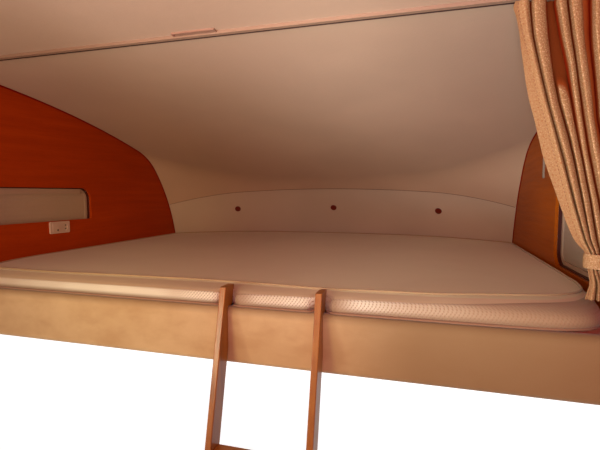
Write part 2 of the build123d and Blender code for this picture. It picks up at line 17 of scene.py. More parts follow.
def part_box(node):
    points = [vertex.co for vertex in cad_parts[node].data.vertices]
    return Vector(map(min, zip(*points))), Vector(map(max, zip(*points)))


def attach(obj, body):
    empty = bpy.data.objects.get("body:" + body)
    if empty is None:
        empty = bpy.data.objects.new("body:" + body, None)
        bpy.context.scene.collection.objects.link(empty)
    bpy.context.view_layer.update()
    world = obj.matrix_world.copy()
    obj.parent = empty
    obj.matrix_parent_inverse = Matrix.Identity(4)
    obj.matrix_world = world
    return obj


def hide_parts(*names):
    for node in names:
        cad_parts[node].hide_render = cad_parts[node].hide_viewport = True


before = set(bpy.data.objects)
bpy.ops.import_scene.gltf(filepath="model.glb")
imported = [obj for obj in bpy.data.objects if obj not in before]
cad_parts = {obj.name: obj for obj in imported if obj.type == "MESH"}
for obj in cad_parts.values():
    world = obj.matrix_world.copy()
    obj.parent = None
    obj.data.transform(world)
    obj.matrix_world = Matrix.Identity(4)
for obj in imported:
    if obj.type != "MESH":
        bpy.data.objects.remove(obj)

LOG = logging.getLogger("sleeping_alcove")
Colour = tuple[float, float, float]
Table = tuple[tuple[float, float], ...]  # rising places, each with its value
Piece = bpy.types.Object


def srgb(red: int, green: int, blue: int) -> Colour:
    """Turn a colour of 0 to 255 parts into the linear values that shaders use.

    Args:
        red, green, blue: The parts of the colour as it shows on a screen.

    Returns:
        The linear red, green and blue.
    """
    parts = [part / 255 for part in (red, green, blue)]
    return tuple(p / 12.92 if p <= 0.04045 else ((p + 0.055) / 1.055) ** 2.4 for p in parts)


def scaled(colour: Colour, factor: float) -> Colour:
    """Give a colour at another strength."""
    return tuple(part * factor for part in colour)


class Wire:
    """An output socket that takes part in Python arithmetic."""

    def __init__(self, shader: "Shader", socket: bpy.types.NodeSocket) -> None:
        """Keep the shader and one of its sockets."""
        self.shader = shader
        self.socket = socket

    def maths(self, operation: str, *values: "Wire | float") -> "Wire":
        """Add one Math node.

        Args:
            operation: The Math node's operation.
            values: Its inputs in order, wires or numbers.

        Returns:
            The node's output.
        """
        return self.shader.node("Math", {"operation": operation}, dict(enumerate(values)))

    def __add__(self, other: "Wire | float") -> "Wire":
        """Sum of two values."""
        return self.maths("ADD", self, other)

    def __sub__(self, other: "Wire | float") -> "Wire":
        """Difference of two values."""
        return self.maths("SUBTRACT", self, other)

    def __rsub__(self, other: "Wire | float") -> "Wire":
        """Difference, with this value taken from the other."""
        return self.maths("SUBTRACT", other, self)

    def __mul__(self, other: "Wire | float") -> "Wire":
        """Product of two values."""
        return self.maths("MULTIPLY", self, other)

    def __gt__(self, other: "Wire | float") -> "Wire":
        """1 where this value is the larger, else 0."""
        return self.maths("GREATER_THAN", self, other)

    def __lt__(self, other: "Wire | float") -> "Wire":
        """1 where this value is the smaller, else 0."""
        return self.maths("LESS_THAN", self, other)

    def sine(self) -> "Wire":
        """Sine of an angle in radians."""
        return self.maths("SINE", self)

    def size(self) -> "Wire":
        """Value without its sign."""
        return self.maths("ABSOLUTE", self)

    def larger(self, other: "Wire") -> "Wire":
        """The larger of two values."""
        return self.maths("MAXIMUM", self, other)

    def step(self, low: float, high: float) -> "Wire":
        """Smooth rise from 0 at low to 1 at high."""
        inputs = {"Value": self, "From Min": low, "From Max": high}
        return self.shader.node("MapRange", {"interpolation_type": "SMOOTHSTEP"}, inputs)

    def spread(self, low: float, high: float) -> "Wire":
        """Stretch a value of 0 to 1 over a new range."""
        return self.shader.node("MapRange", {}, {"Value": self, "To Min": low, "To Max": high})


class Shader:
    """The nodes of a material or of the world, added one after another."""

    def __init__(self, name: str, world: bool = False) -> None:
        """Start an empty material or world.

        Args:
            name: Its name.
            world: Whether it is a world.
        """
        self.world = world
        self.owner = (bpy.data.worlds if world else bpy.data.materials).new(name)
        self.owner.use_nodes = True
        self.tree = self.owner.node_tree
        self.tree.nodes.clear()

    def node(
        self, kind: str, settings: dict[str, object], inputs: dict[int | str, object], output: int | str = 0
    ) -> Wire:
        """Add any node.

        Args:
            kind: The node's type, without the word ShaderNode.
            settings: Its properties, which are set first; stops are a ramp's places and colours.
            inputs: Wires or plain values by socket name or number.
            output: The output socket that is wanted.

        Returns:
            That output.
        """
        made = self.tree.nodes.new(f"ShaderNode{kind}")
        for key, value in settings.items():
            if key == "stops":
                self.set_stops(made.color_ramp, value)
            else:
                setattr(made, key, value)
        for key, value in inputs.items():
            if isinstance(value, Wire):
                self.tree.links.new(value.socket, made.inputs[key])
            else:
                made.inputs[key].default_value = value
        return Wire(self, made.outputs[output])

    @staticmethod
    def set_stops(ramp: bpy.types.ColorRamp, stops: Sequence[tuple[float, Colour]]) -> None:
        """Give a colour ramp its stops.

        Args:
            ramp: The ramp, which has two stops to begin with.
            stops: Place and colour of each stop, in order.
        """
        while len(ramp.elements) < len(stops):
            ramp.elements.new(0.5)
        for element, (place, colour) in zip(ramp.elements, stops):
            element.position = place
            element.color = (*colour, 1.0)

    def place(self) -> Wire:
        """Object coordinates, in metres."""
        return self.node("TexCoord", {}, {}, "Object")

    def cloth(self) -> Wire:
        """The piece's own map, in metres along the cloth."""
        return self.node("TexCoord", {}, {}, "UV")

    def stretched(self, coords: Wire, scale: Sequence[float], turn: Sequence[float] = (0, 0, 0)) -> Wire:
        """Scale and turn coordinates.

        Args:
            coords: The coordinates.
            scale: Factor along each axis.
            turn: Turn about each axis, in radians.

        Returns:
            The new coordinates.
        """
        return self.node("Mapping", {}, {"Vector": coords, "Scale": scale, "Rotation": turn})

    def noise(self, coords: Wire, scale: float, detail: float = 2.0, rough: float = 0.5) -> Wire:
        """Noise of about 0.3 to 0.7.

        Args:
            coords: Where it is read.
            scale: Cells in a metre.
            detail: Octaves.
            rough: Share of each finer octave.

        Returns:
            The noise value.
        """
        inputs = {"Vector": coords, "Scale": scale, "Detail": detail, "Roughness": rough}
        return self.node("TexNoise", {}, inputs)

    def axes(self, coords: Wire) -> tuple[Wire, Wire, Wire]:
        """The three values of a vector."""
        split = self.node("SeparateXYZ", {}, {"Vector": coords})
        return tuple(Wire(self, out) for out in split.socket.node.outputs)

    def mix(self, share: Wire | float, first: Wire | Colour, second: Wire | Colour) -> Wire:
        """Mix two colours.

        Args:
            share: How much of the second, 0 to 1.
            first, second: Colours or wires.

        Returns:
            The mixed colour.
        """
        settings = {"data_type": "RGBA"}
        inputs = {0: share, 6: self.opaque(first), 7: self.opaque(second)}
        return self.node("Mix", settings, inputs, 2)

    @staticmethod
    def opaque(colour: Wire | Colour) -> Wire | tuple[float, ...]:
        """Add the fourth value to a plain colour, and leave a wire alone."""
        return colour if isinstance(colour, Wire) else (*colour, 1.0)

    def ramp(self, value: Wire, *stops: tuple[float, Colour]) -> Wire:
        """Colour by a value through a ramp."""
        return self.node("ValToRGB", {"stops": stops}, {"Fac": value})

    def bump(self, height: Wire, depth: float, under: Wire | None = None) -> Wire:
        """Bump from a height of 0 to 1.

        Args:
            height: The height.
            depth: What a height of 1 is, in metres.
            under: A normal that this one goes on top of.

        Returns:
            The normal.
        """
        inputs = {"Height": height, "Distance": depth, "Strength": 1.0}
        if under is not None:
            inputs["Normal"] = under
        return self.node("Bump", {}, inputs)

    def surface(self, **inputs: Wire | Colour | float) -> bpy.types.Material:
        """Close the material with one Principled surface.

        Args:
            inputs: Its sockets, with underscores for spaces.

        Returns:
            The material.
        """
        named = {key.replace("_", " "): value for key, value in inputs.items()}
        named["Base Color"] = self.opaque(named["Base Color"])
        self.close(self.node("BsdfPrincipled", {}, named))
        return self.owner

    def close(self, closed: Wire) -> None:
        """Join a closed shader to the output."""
        end = self.tree.nodes.new("ShaderNodeOutputWorld" if self.world else "ShaderNodeOutputMaterial")
        self.tree.links.new(closed.socket, end.inputs["Surface"])

    def direct(self) -> Wire:
        """Tell what the camera looks at, straight or through a pane.

        Returns:
            1 for such rays, else 0.
        """
        paths = self.tree.nodes.new("ShaderNodeLightPath")
        names = ("Is Camera Ray", "Is Transmission Ray")
        camera, through = (Wire(self, paths.outputs[name]) for name in names)
        return camera.larger(through)


@dataclass(frozen=True)
class LiningFinish:
    """Smooth foam-backed lining with a very fine grain."""

    name: str = "lining_beige"
    colour: Colour = srgb(188, 154, 126)
    grain: float = 900.0
    grain_depth: float = 0.00025

    def material(self) -> bpy.types.Material:
        """Build the material.

        Returns:
            The material.
        """
        shader = Shader(self.name)
        place = shader.place()
        clouds = shader.noise(place, 1.6, 3.0, 0.55).step(0.35, 0.65)
        tone = shader.mix(clouds, scaled(self.colour, 0.95), scaled(self.colour, 1.04))
        grain = shader.noise(place, self.grain, 2.0, 0.6)
        soft = shader.noise(place, 38.0, 2.0)
        normal = shader.bump(soft, 0.0006, shader.bump(grain, self.grain_depth))
        return shader.surface(
            Base_Color=tone,
            Roughness=clouds.spread(0.60, 0.68),
            Normal=normal,
            Sheen_Weight=0.12,
            Sheen_Roughness=0.5,
            Specular_IOR_Level=0.35,
        )


class Grain(Enum):
    """The axis that the grain of a wooden piece runs along."""

    ACROSS = 0
    FORE_AND_AFT = 1
    UPRIGHT = 2


@dataclass(frozen=True)
class WoodFinish:
    """Lacquered wood with flowing figure, fine streaks and pores."""

    name: str
    dark: Colour
    mid: Colour
    light: Colour
    grain: Grain = Grain.FORE_AND_AFT
    figure: float = 5.0
    coat: float = 0.35
    roughness: float = 0.38
    specular: float = 0.25
    bend: float = 0.05

    def scale(self, along: float, across: float) -> tuple[float, ...]:
        """Scale vector with one value along the grain and the other across it.

        Args:
            along: Cells in a metre along the grain.
            across: Cells in a metre across it.

        Returns:
            The scale for X, Y and Z.
        """
        scale = [across] * 3
        scale[self.grain.value] = along
        return tuple(scale)

    def material(self) -> bpy.types.Material:
        """Build the material.

        Returns:
            The material.
        """
        shader = Shader(self.name)
        place = shader.place()
        broad = shader.noise(shader.stretched(place, self.scale(0.7, self.figure)), 1.0, 3.0, 0.55)
        drift = shader.node("TexNoise", {}, {"Vector": place, "Scale": 1.5}, 1)
        moved = {0: drift, 1: (self.bend,) * 3, 2: place}
        bent = shader.node("VectorMath", {"operation": "MULTIPLY_ADD"}, moved)
        rings = shader.noise(shader.stretched(bent, self.scale(1.6, 42.0)), 1.0, 4.0, 0.6)
        streaks = shader.noise(shader.stretched(bent, self.scale(5.0, 330.0)), 1.0, 2.0, 0.6)
        pores = shader.noise(shader.stretched(place, self.scale(22.0, 900.0)), 1.0, 1.0)
        figure = broad * 0.5 + rings * 0.4 + streaks * 0.1
        tone = shader.ramp(figure, (0.40, self.dark), (0.50, self.mid), (0.60, self.light))
        pitted = pores.step(0.60, 0.72)
        tone = shader.mix(pitted * 0.35, tone, scaled(self.dark, 0.55))
        return shader.surface(
            Base_Color=tone,
            Roughness=streaks.spread(self.roughness - 0.06, self.roughness + 0.1),
            Normal=shader.bump(streaks - pitted * 0.5, 0.00012),
            Coat_Weight=self.coat,
            Coat_Roughness=0.22,
            Specular_IOR_Level=self.specular,
        )


@dataclass(frozen=True)
class KnitFinish:
    """Knitted cloth: plain, or quilted in small diamonds as the mattress's border is."""

    name: str
    colour: Colour
    shade: Colour
    diamonds: bool = False
    band: Colour | None = None
    band_top: float = 0.2262
    rail_sides: tuple[float, ...] = (0.035, 0.318)  # right sides of the ladder's rails, where the painted rail shadows begin
    # Tint of the shade painted on the border towards its right end
    painted_shade_tint: Colour = (0.72, 0.68, 0.60)

    def material(self) -> bpy.types.Material:
        """Build the material.

        Returns:
            The material.
        """
        shader = Shader(self.name)
        place = shader.place()
        right, _, height = shader.axes(place)
        yarn = shader.noise(place, 700.0, 2.0, 0.6)
        patches = shader.noise(place, 3.0, 2.0).step(0.35, 0.65)
        tone = shader.mix(patches * 0.5, self.colour, self.shade)
        if self.diamonds:
            tone = self.quilted(shader, tone, right)
        # Painted light: below band_top the side takes the band colour, painted lighter towards the right
        if self.band:
            side = shader.mix(right.step(0.45, 0.85), self.band, scaled(self.band, 1.4))
            tone = shader.mix((self.band_top - height).step(0.0, 0.002), tone, side)
        return shader.surface(
            Base_Color=tone,
            Roughness=0.86,
            Normal=shader.bump(yarn, 0.0003),
            Sheen_Weight=0.25,
            Sheen_Roughness=0.5,
            Specular_IOR_Level=0.25,
        )

    def quilted(self, shader: Shader, tone: Wire, right: Wire) -> Wire:
        """Darken the quilting's seams, and paint shade on the border: towards its right end, along its foot
        and beside the rails.

        Args:
            shader: The material's nodes.
            tone: The plain colour.
            right: Distance to the right of the middle.

        Returns:
            The new colour.
        """
        across, up, _ = shader.axes(shader.cloth())
        first = ((across + up) * math.pi).sine().size()
        second = ((across - up) * math.pi).sine().size()
        pits = ((1 - first) * (1 - second)).step(0.10, 0.50)
        streaks = (1 - first).step(0.30, 0.90)
        tone = shader.mix(streaks * 0.4, tone, self.shade)
        tone = shader.mix(pits * 0.6, tone, scaled(self.shade, 0.6))
        # Painted shade: the border darkens towards its right end, in this tint
        corner = tuple(part * factor for part, factor in zip(self.shade, self.painted_shade_tint))
        tone = shader.mix(right.step(0.22, 0.92) * 0.9, tone, corner)
        # Painted shade: darker along the border's foot
        tone = shader.mix((up + 2.0).step(0.0, 1.3) * 0.8, tone, scaled(self.shade, 0.6))
        # Painted shadows: darker to the right of each ladder rail
        for edge in self.rail_sides:
            beside = (right > edge) * (1 - (right - edge).step(0.030, 0.100))
            tone = shader.mix(beside * 0.85, tone, scaled(self.shade, 0.75))
        return tone


@dataclass(frozen=True)
class SuedeFinish:
    """Suede-like cover with a brushed nap and faint marks, and painted shade towards the right and along its
    top.
    """

    name: str = "tan_suede"
    colour: Colour = srgb(208, 173, 125)
    dark: Colour = srgb(181, 141, 94)
    painted_shade_right: float = 0.25
    painted_shade_top: float = 0.140

    def material(self) -> bpy.types.Material:
        """Build the material.

        Returns:
            The material.
        """
        shader = Shader(self.name)
        place = shader.place()
        patches = shader.noise(shader.stretched(place, (3.6, 6.0, 5.0)), 1.6, 4.0, 0.55)
        marks = shader.noise(shader.stretched(place, (4.0, 9.0, 9.0), (0, 0.8, 0)), 2.0, 3.0, 0.55)
        nap = shader.noise(place, 520.0, 2.0, 0.65)
        worn = patches.step(0.36, 0.62) * 0.6 + marks.step(0.45, 0.7) * 0.4
        tone = shader.mix(worn * 0.75, self.colour, self.dark)
        tone = shader.mix((nap - 0.5) * 0.5 + 0.1, tone, self.dark)
        right, _, height = shader.axes(place)
        # Painted shade: darker towards the right
        tone = shader.mix((right - self.painted_shade_right).step(0.0, 0.35) * 0.9, tone, scaled(self.dark, 0.6))
        # Painted shade: darker along the top edge
        tone = shader.mix((height - self.painted_shade_top).step(0.0, 0.026) * 0.55, tone, scaled(self.dark, 0.5))
        return shader.surface(
            Base_Color=tone,
            Roughness=0.92,
            Normal=shader.bump(marks, 0.0010, shader.bump(nap, 0.0004)),
            Sheen_Weight=0.35,
            Sheen_Roughness=0.45,
            Specular_IOR_Level=0.2,
        )


@dataclass(frozen=True)
class WeaveFinish:
    """Heavy two-tone curtain cloth; the map is in metres, a second one tells how deep a fold lies, for the
    shade painted into the folds.
    """

    name: str
    warp: Colour
    weft: Colour
    fleck: Colour
    # slope and shade are painted shade, for the folds' flanks and valleys; slope also colours the dark dots
    slope: Colour
    shade: Colour
    thread: float = 0.0016

    def material(self) -> bpy.types.Material:
        """Build the material.

        Returns:
            The material.
        """
        shader = Shader(self.name)
        cloth = shader.cloth()
        along, down, _ = shader.axes(cloth)
        turn = math.pi / self.thread
        crossing = (along * turn).sine() * (down * turn).sine()
        weave = crossing * 0.5 + 0.5
        slubs = shader.noise(shader.stretched(cloth, (60.0, 420.0, 1.0)), 1.0, 2.0, 0.6)
        flecks = shader.noise(shader.stretched(cloth, (330.0, 250.0, 1.0)), 1.0, 2.0, 0.6).step(0.50, 0.64)
        patches = shader.noise(shader.stretched(cloth, (9.0, 5.0, 1.0)), 1.0, 2.0)
        tone = shader.mix(weave * 0.4 + slubs * 0.3 + patches * 0.3, self.warp, self.weft)
        hem = along.step(0.020, 0.045)
        tone = shader.mix(flecks * (hem * 0.40 + 0.20), tone, self.fleck)
        dots = shader.noise(shader.stretched(cloth, (290.0, 230.0, 1.0)), 1.0, 1.0, 0.5).step(0.56, 0.68)
        tone = shader.mix(dots * 0.5, tone, self.slope)
        depth, wide, _ = shader.axes(shader.node("UVMap", {"uv_map": "depth"}, {}))
        # Painted shade: by depth, the folds' flanks take the slope colour and their valleys the shade
        # colour; the wide recess gets a milder painted shade
        tone = shader.mix(depth.step(0.36, 0.58), tone, self.slope)
        tone = shader.mix(depth.step(0.54, 0.78) * (1 - wide), tone, self.shade)
        tone = shader.mix(depth.step(0.55, 0.80) * wide * 0.7, tone, scaled(self.slope, 0.35))
        height = weave * 0.4 + slubs * 0.4 + flecks * 0.3
        return shader.surface(
            Base_Color=tone,
            Roughness=0.85,
            Normal=shader.bump(height, 0.0006),
            Specular_IOR_Level=0.03,
        )


@dataclass(frozen=True)
class PlasticFinish:
    """Moulded plastic or gelcoat with a faint texture; its core shows where it is cut off square."""

    name: str
    colour: Colour
    roughness: float = 0.35
    texture: float = 600.0
    depth: float = 0.00006
    coat: float = 0.0
    specular: float = 0.5
    core: Colour | None = None
    rear_cut: float = -0.4495
    foot_cut: float = 0.0005

    def material(self) -> bpy.types.Material:
        """Build the material.

        Returns:
            The material.
        """
        shader = Shader(self.name)
        place = shader.place()
        skin = shader.noise(place, self.texture, 2.0)
        film = shader.noise(place, 5.0, 3.0).step(0.3, 0.7)
        tone = shader.mix(film, scaled(self.colour, 0.96), self.colour)
        if self.core:
            _, forwards, up = shader.axes(place)
            cut = (forwards < self.rear_cut).larger(up < self.foot_cut)
            cells = shader.noise(place, 420.0, 2.0).step(0.35, 0.65)
            foam = shader.mix(cells, scaled(self.core, 0.82), self.core)
            tone = shader.mix(cut, tone, foam)
        return shader.surface(
            Base_Color=tone,
            Roughness=film.spread(self.roughness - 0.03, self.roughness + 0.05),
            Normal=shader.bump(skin, self.depth),
            Coat_Weight=self.coat,
            Specular_IOR_Level=self.specular,
        )


@dataclass(frozen=True)
class GroovedFinish:
    """Plastic whose colour changes between two places along one axis."""

    name: str
    colour: Colour
    inside: Colour
    axis: int
    start: float
    end: float
    both_sides: bool = False

    def material(self) -> bpy.types.Material:
        """Build the material.

        Returns:
            The material.
        """
        shader = Shader(self.name)
        place = shader.place()
        value = shader.axes(place)[self.axis]
        if self.both_sides:
            value = value.size()
        within = (value > self.start) * (value < self.end)
        skin = shader.noise(place, 500.0, 2.0)
        return shader.surface(
            Base_Color=shader.mix(within, self.colour, self.inside),
            Roughness=skin.spread(0.38, 0.5),
            Normal=shader.bump(skin, 0.00006),
            Specular_IOR_Level=0.3,
        )


@dataclass(frozen=True)
class MetalFinish:
    """Brushed or drawn metal."""

    name: str
    colour: Colour
    roughness: float = 0.3
    brush: tuple[float, float, float] = (6.0, 600.0, 600.0)

    def material(self) -> bpy.types.Material:
        """Build the material.

        Returns:
            The material.
        """
        shader = Shader(self.name)
        lines = shader.noise(shader.stretched(shader.place(), self.brush), 1.0, 2.0)
        return shader.surface(
            Base_Color=shader.mix(lines, scaled(self.colour, 0.9), self.colour),
            Metallic=1.0,
            Roughness=lines.spread(self.roughness - 0.05, self.roughness + 0.12),
            Normal=shader.bump(lines, 0.00003),
        )


@dataclass(frozen=True)
class PaneFinish:
    """Clear or tinted acrylic with a trace of haze."""

    name: str
    colour: Colour
    clear: float = 0.85
    roughness: float = 0.05

    def material(self) -> bpy.types.Material:
        """Build the material.

        Returns:
            The material.
        """
        shader = Shader(self.name)
        haze = shader.noise(shader.place(), 9.0, 3.0)
        return shader.surface(
            Base_Color=self.colour,
            Roughness=haze.spread(self.roughness, self.roughness + 0.06),
            Transmission_Weight=self.clear,
            IOR=1.49,
        )


@dataclass(frozen=True)
class PleatFinish:
    """Thin pleated blind cloth."""

    name: str = "blind_cloth"
    colour: Colour = srgb(184, 154, 126)
    right_shade_and_threads: Colour = srgb(158, 130, 102)  # the right blind, painted darker as shade; also the darker tone of the threads

    def material(self) -> bpy.types.Material:
        """Build the material.

        Returns:
            The material.
        """
        shader = Shader(self.name)
        place = shader.place()
        threads = shader.noise(shader.stretched(place, (500.0, 900.0, 260.0)), 1.0, 2.0, 0.6)
        right, _, _ = shader.axes(place)
        # Painted shade: the right blind is the same cloth, painted darker
        cloth = shader.mix(right.step(-0.1, 0.1), self.colour, self.right_shade_and_threads)
        return shader.surface(
            Base_Color=shader.mix(threads * 0.5, cloth, scaled(self.right_shade_and_threads, 0.8)),
            Roughness=0.8,
            Normal=shader.bump(threads, 0.0002),
            Sheen_Weight=0.15,
        )


LINING = LiningFinish()
# Lit copy of the lining: the nose lining is painted lighter and less red as light
NOSE_LINING = LiningFinish("lining_beige_nose", srgb(192, 167, 143))
# Lit and shaded copies of one cherry wood: the left panel is painted darker and redder as shade
CHERRY_LEFT = WoodFinish(
    "cherry_left", srgb(162, 54, 4), srgb(172, 58, 5), srgb(182, 64, 7), figure=3.0, coat=0.0, specular=0.1
)
CHERRY_RIGHT = WoodFinish(
    "cherry_right", srgb(143, 62, 3), srgb(157, 72, 4), srgb(170, 82, 6), figure=3.0, coat=0.0, specular=0.1
)
LADDER_UPRIGHT = WoodFinish(
    "ladder_upright", srgb(139, 76, 20), srgb(157, 90, 26), srgb(170, 106, 35),
    Grain.UPRIGHT, 18.0, 0.4, 0.34
)
LADDER_ACROSS = WoodFinish(
    "ladder_across", srgb(144, 80, 23), srgb(163, 95, 30), srgb(177, 112, 40), Grain.ACROSS, 18.0, 0.4, 0.34
)
TIMBER = WoodFinish(
    "plain_timber", srgb(176, 138, 92), srgb(198, 162, 114), srgb(214, 184, 140), Grain.ACROSS, 9.0, 0.0, 0.6
)
PLYWOOD = WoodFinish(
    "birch_ply", srgb(188, 156, 112), srgb(206, 178, 134), srgb(220, 196, 156), Grain.ACROSS, 4.0, 0.0, 0.6
)
KNIT_TOP = KnitFinish("knit_top", srgb(209, 194, 150), srgb(202, 185, 142), band=srgb(182, 154, 119))
KNIT_BORDER = KnitFinish("knit_border", srgb(240, 231, 204), srgb(186, 150, 113), True)
PIPING = KnitFinish("cream_piping", srgb(178, 150, 110), srgb(168, 138, 98))
# Brown strand along the border's foot: painted shade under the border
FOOT_SHADE_STRAND = KnitFinish("foot_shade_strand", srgb(156, 116, 86), srgb(142, 102, 74))
SUEDE = SuedeFinish()
THREAD = KnitFinish("brown_thread", srgb(120, 66, 38), srgb(100, 52, 30))
CURTAIN = WeaveFinish(
    "curtain_weave",
    warp=srgb(168, 130, 88),
    weft=srgb(151, 111, 72),
    fleck=srgb(220, 184, 141),
    # slope and shade are painted shade for the folds' flanks and valleys; slope also colours the dark dots
    slope=srgb(138, 64, 26),
    shade=srgb(134, 32, 7),
)
GELCOAT = PlasticFinish(
    "white_gelcoat", (0.80, 0.80, 0.78), 0.18, 90.0, 0.00004, coat=0.5, core=(0.70, 0.66, 0.52)
)
MOULDING = PlasticFinish("white_moulding", (0.74, 0.74, 0.73), 0.35)
# Painted shade: the frame's sleeve in the window reveal is coloured dark red-brown
BLACK_FRAME = GroovedFinish("black_frame", (0.015, 0.015, 0.016), srgb(66, 14, 6), 0, 1.0, 1.0915, True)
BLIND_RAIL = PlasticFinish("blind_rail", srgb(178, 146, 122), 0.5, specular=0.2)
SEAM = PlasticFinish("brown_seam", srgb(84, 52, 34), 0.8)
LAMP_BODY = PlasticFinish("warm_grey", srgb(138, 118, 100), 0.4)
PLATE = PlasticFinish("grey_pink_plate", srgb(208, 178, 158), 0.5, 160.0, 0.0002)
DARK_HOLE = PlasticFinish("dark_hole", srgb(46, 22, 14), 0.7)
EDGE_TRIM = PlasticFinish("dark_red_trim", srgb(132, 18, 5), 0.7, specular=0.08)
CAP = PlasticFinish("red_brown_cap", srgb(104, 14, 6), 0.35)
FLOOR_SKIN = PlasticFinish("floor_skin", (0.42, 0.41, 0.39), 0.5, 260.0, 0.0001)
RUBBER = PlasticFinish("black_rubber", (0.02, 0.02, 0.02), 0.75, 350.0, 0.0002)
# The track's slot is painted dark inside, as shade
TRACK = GroovedFinish("beige_track", srgb(150, 120, 98), srgb(60, 40, 36), 1, -0.0579, -0.0521)
JOINT = PlasticFinish("pink_beige_joint", srgb(150, 112, 92), 0.45)
SATIN = MetalFinish("satin_metal", (0.62, 0.60, 0.57), 0.32, (600.0, 600.0, 6.0))
STEEL = MetalFinish("zinc_steel", (0.60, 0.61, 0.62), 0.38)
PANE = PaneFinish("tinted_pane", (0.10, 0.11, 0.12), 0.7)
LENS = PaneFinish("clear_lens", (0.92, 0.93, 0.94), 0.9)
PLEAT = PleatFinish()
Finish = (
    LiningFinish | WoodFinish | KnitFinish | SuedeFinish | WeaveFinish | PlasticFinish | GroovedFinish
    | MetalFinish | PaneFinish | PleatFinish
)


@cache
def material_of(finish: Finish) -> bpy.types.Material:
    """Build a finish's material at its first use, and give the same one from then on."""
    return finish.material()


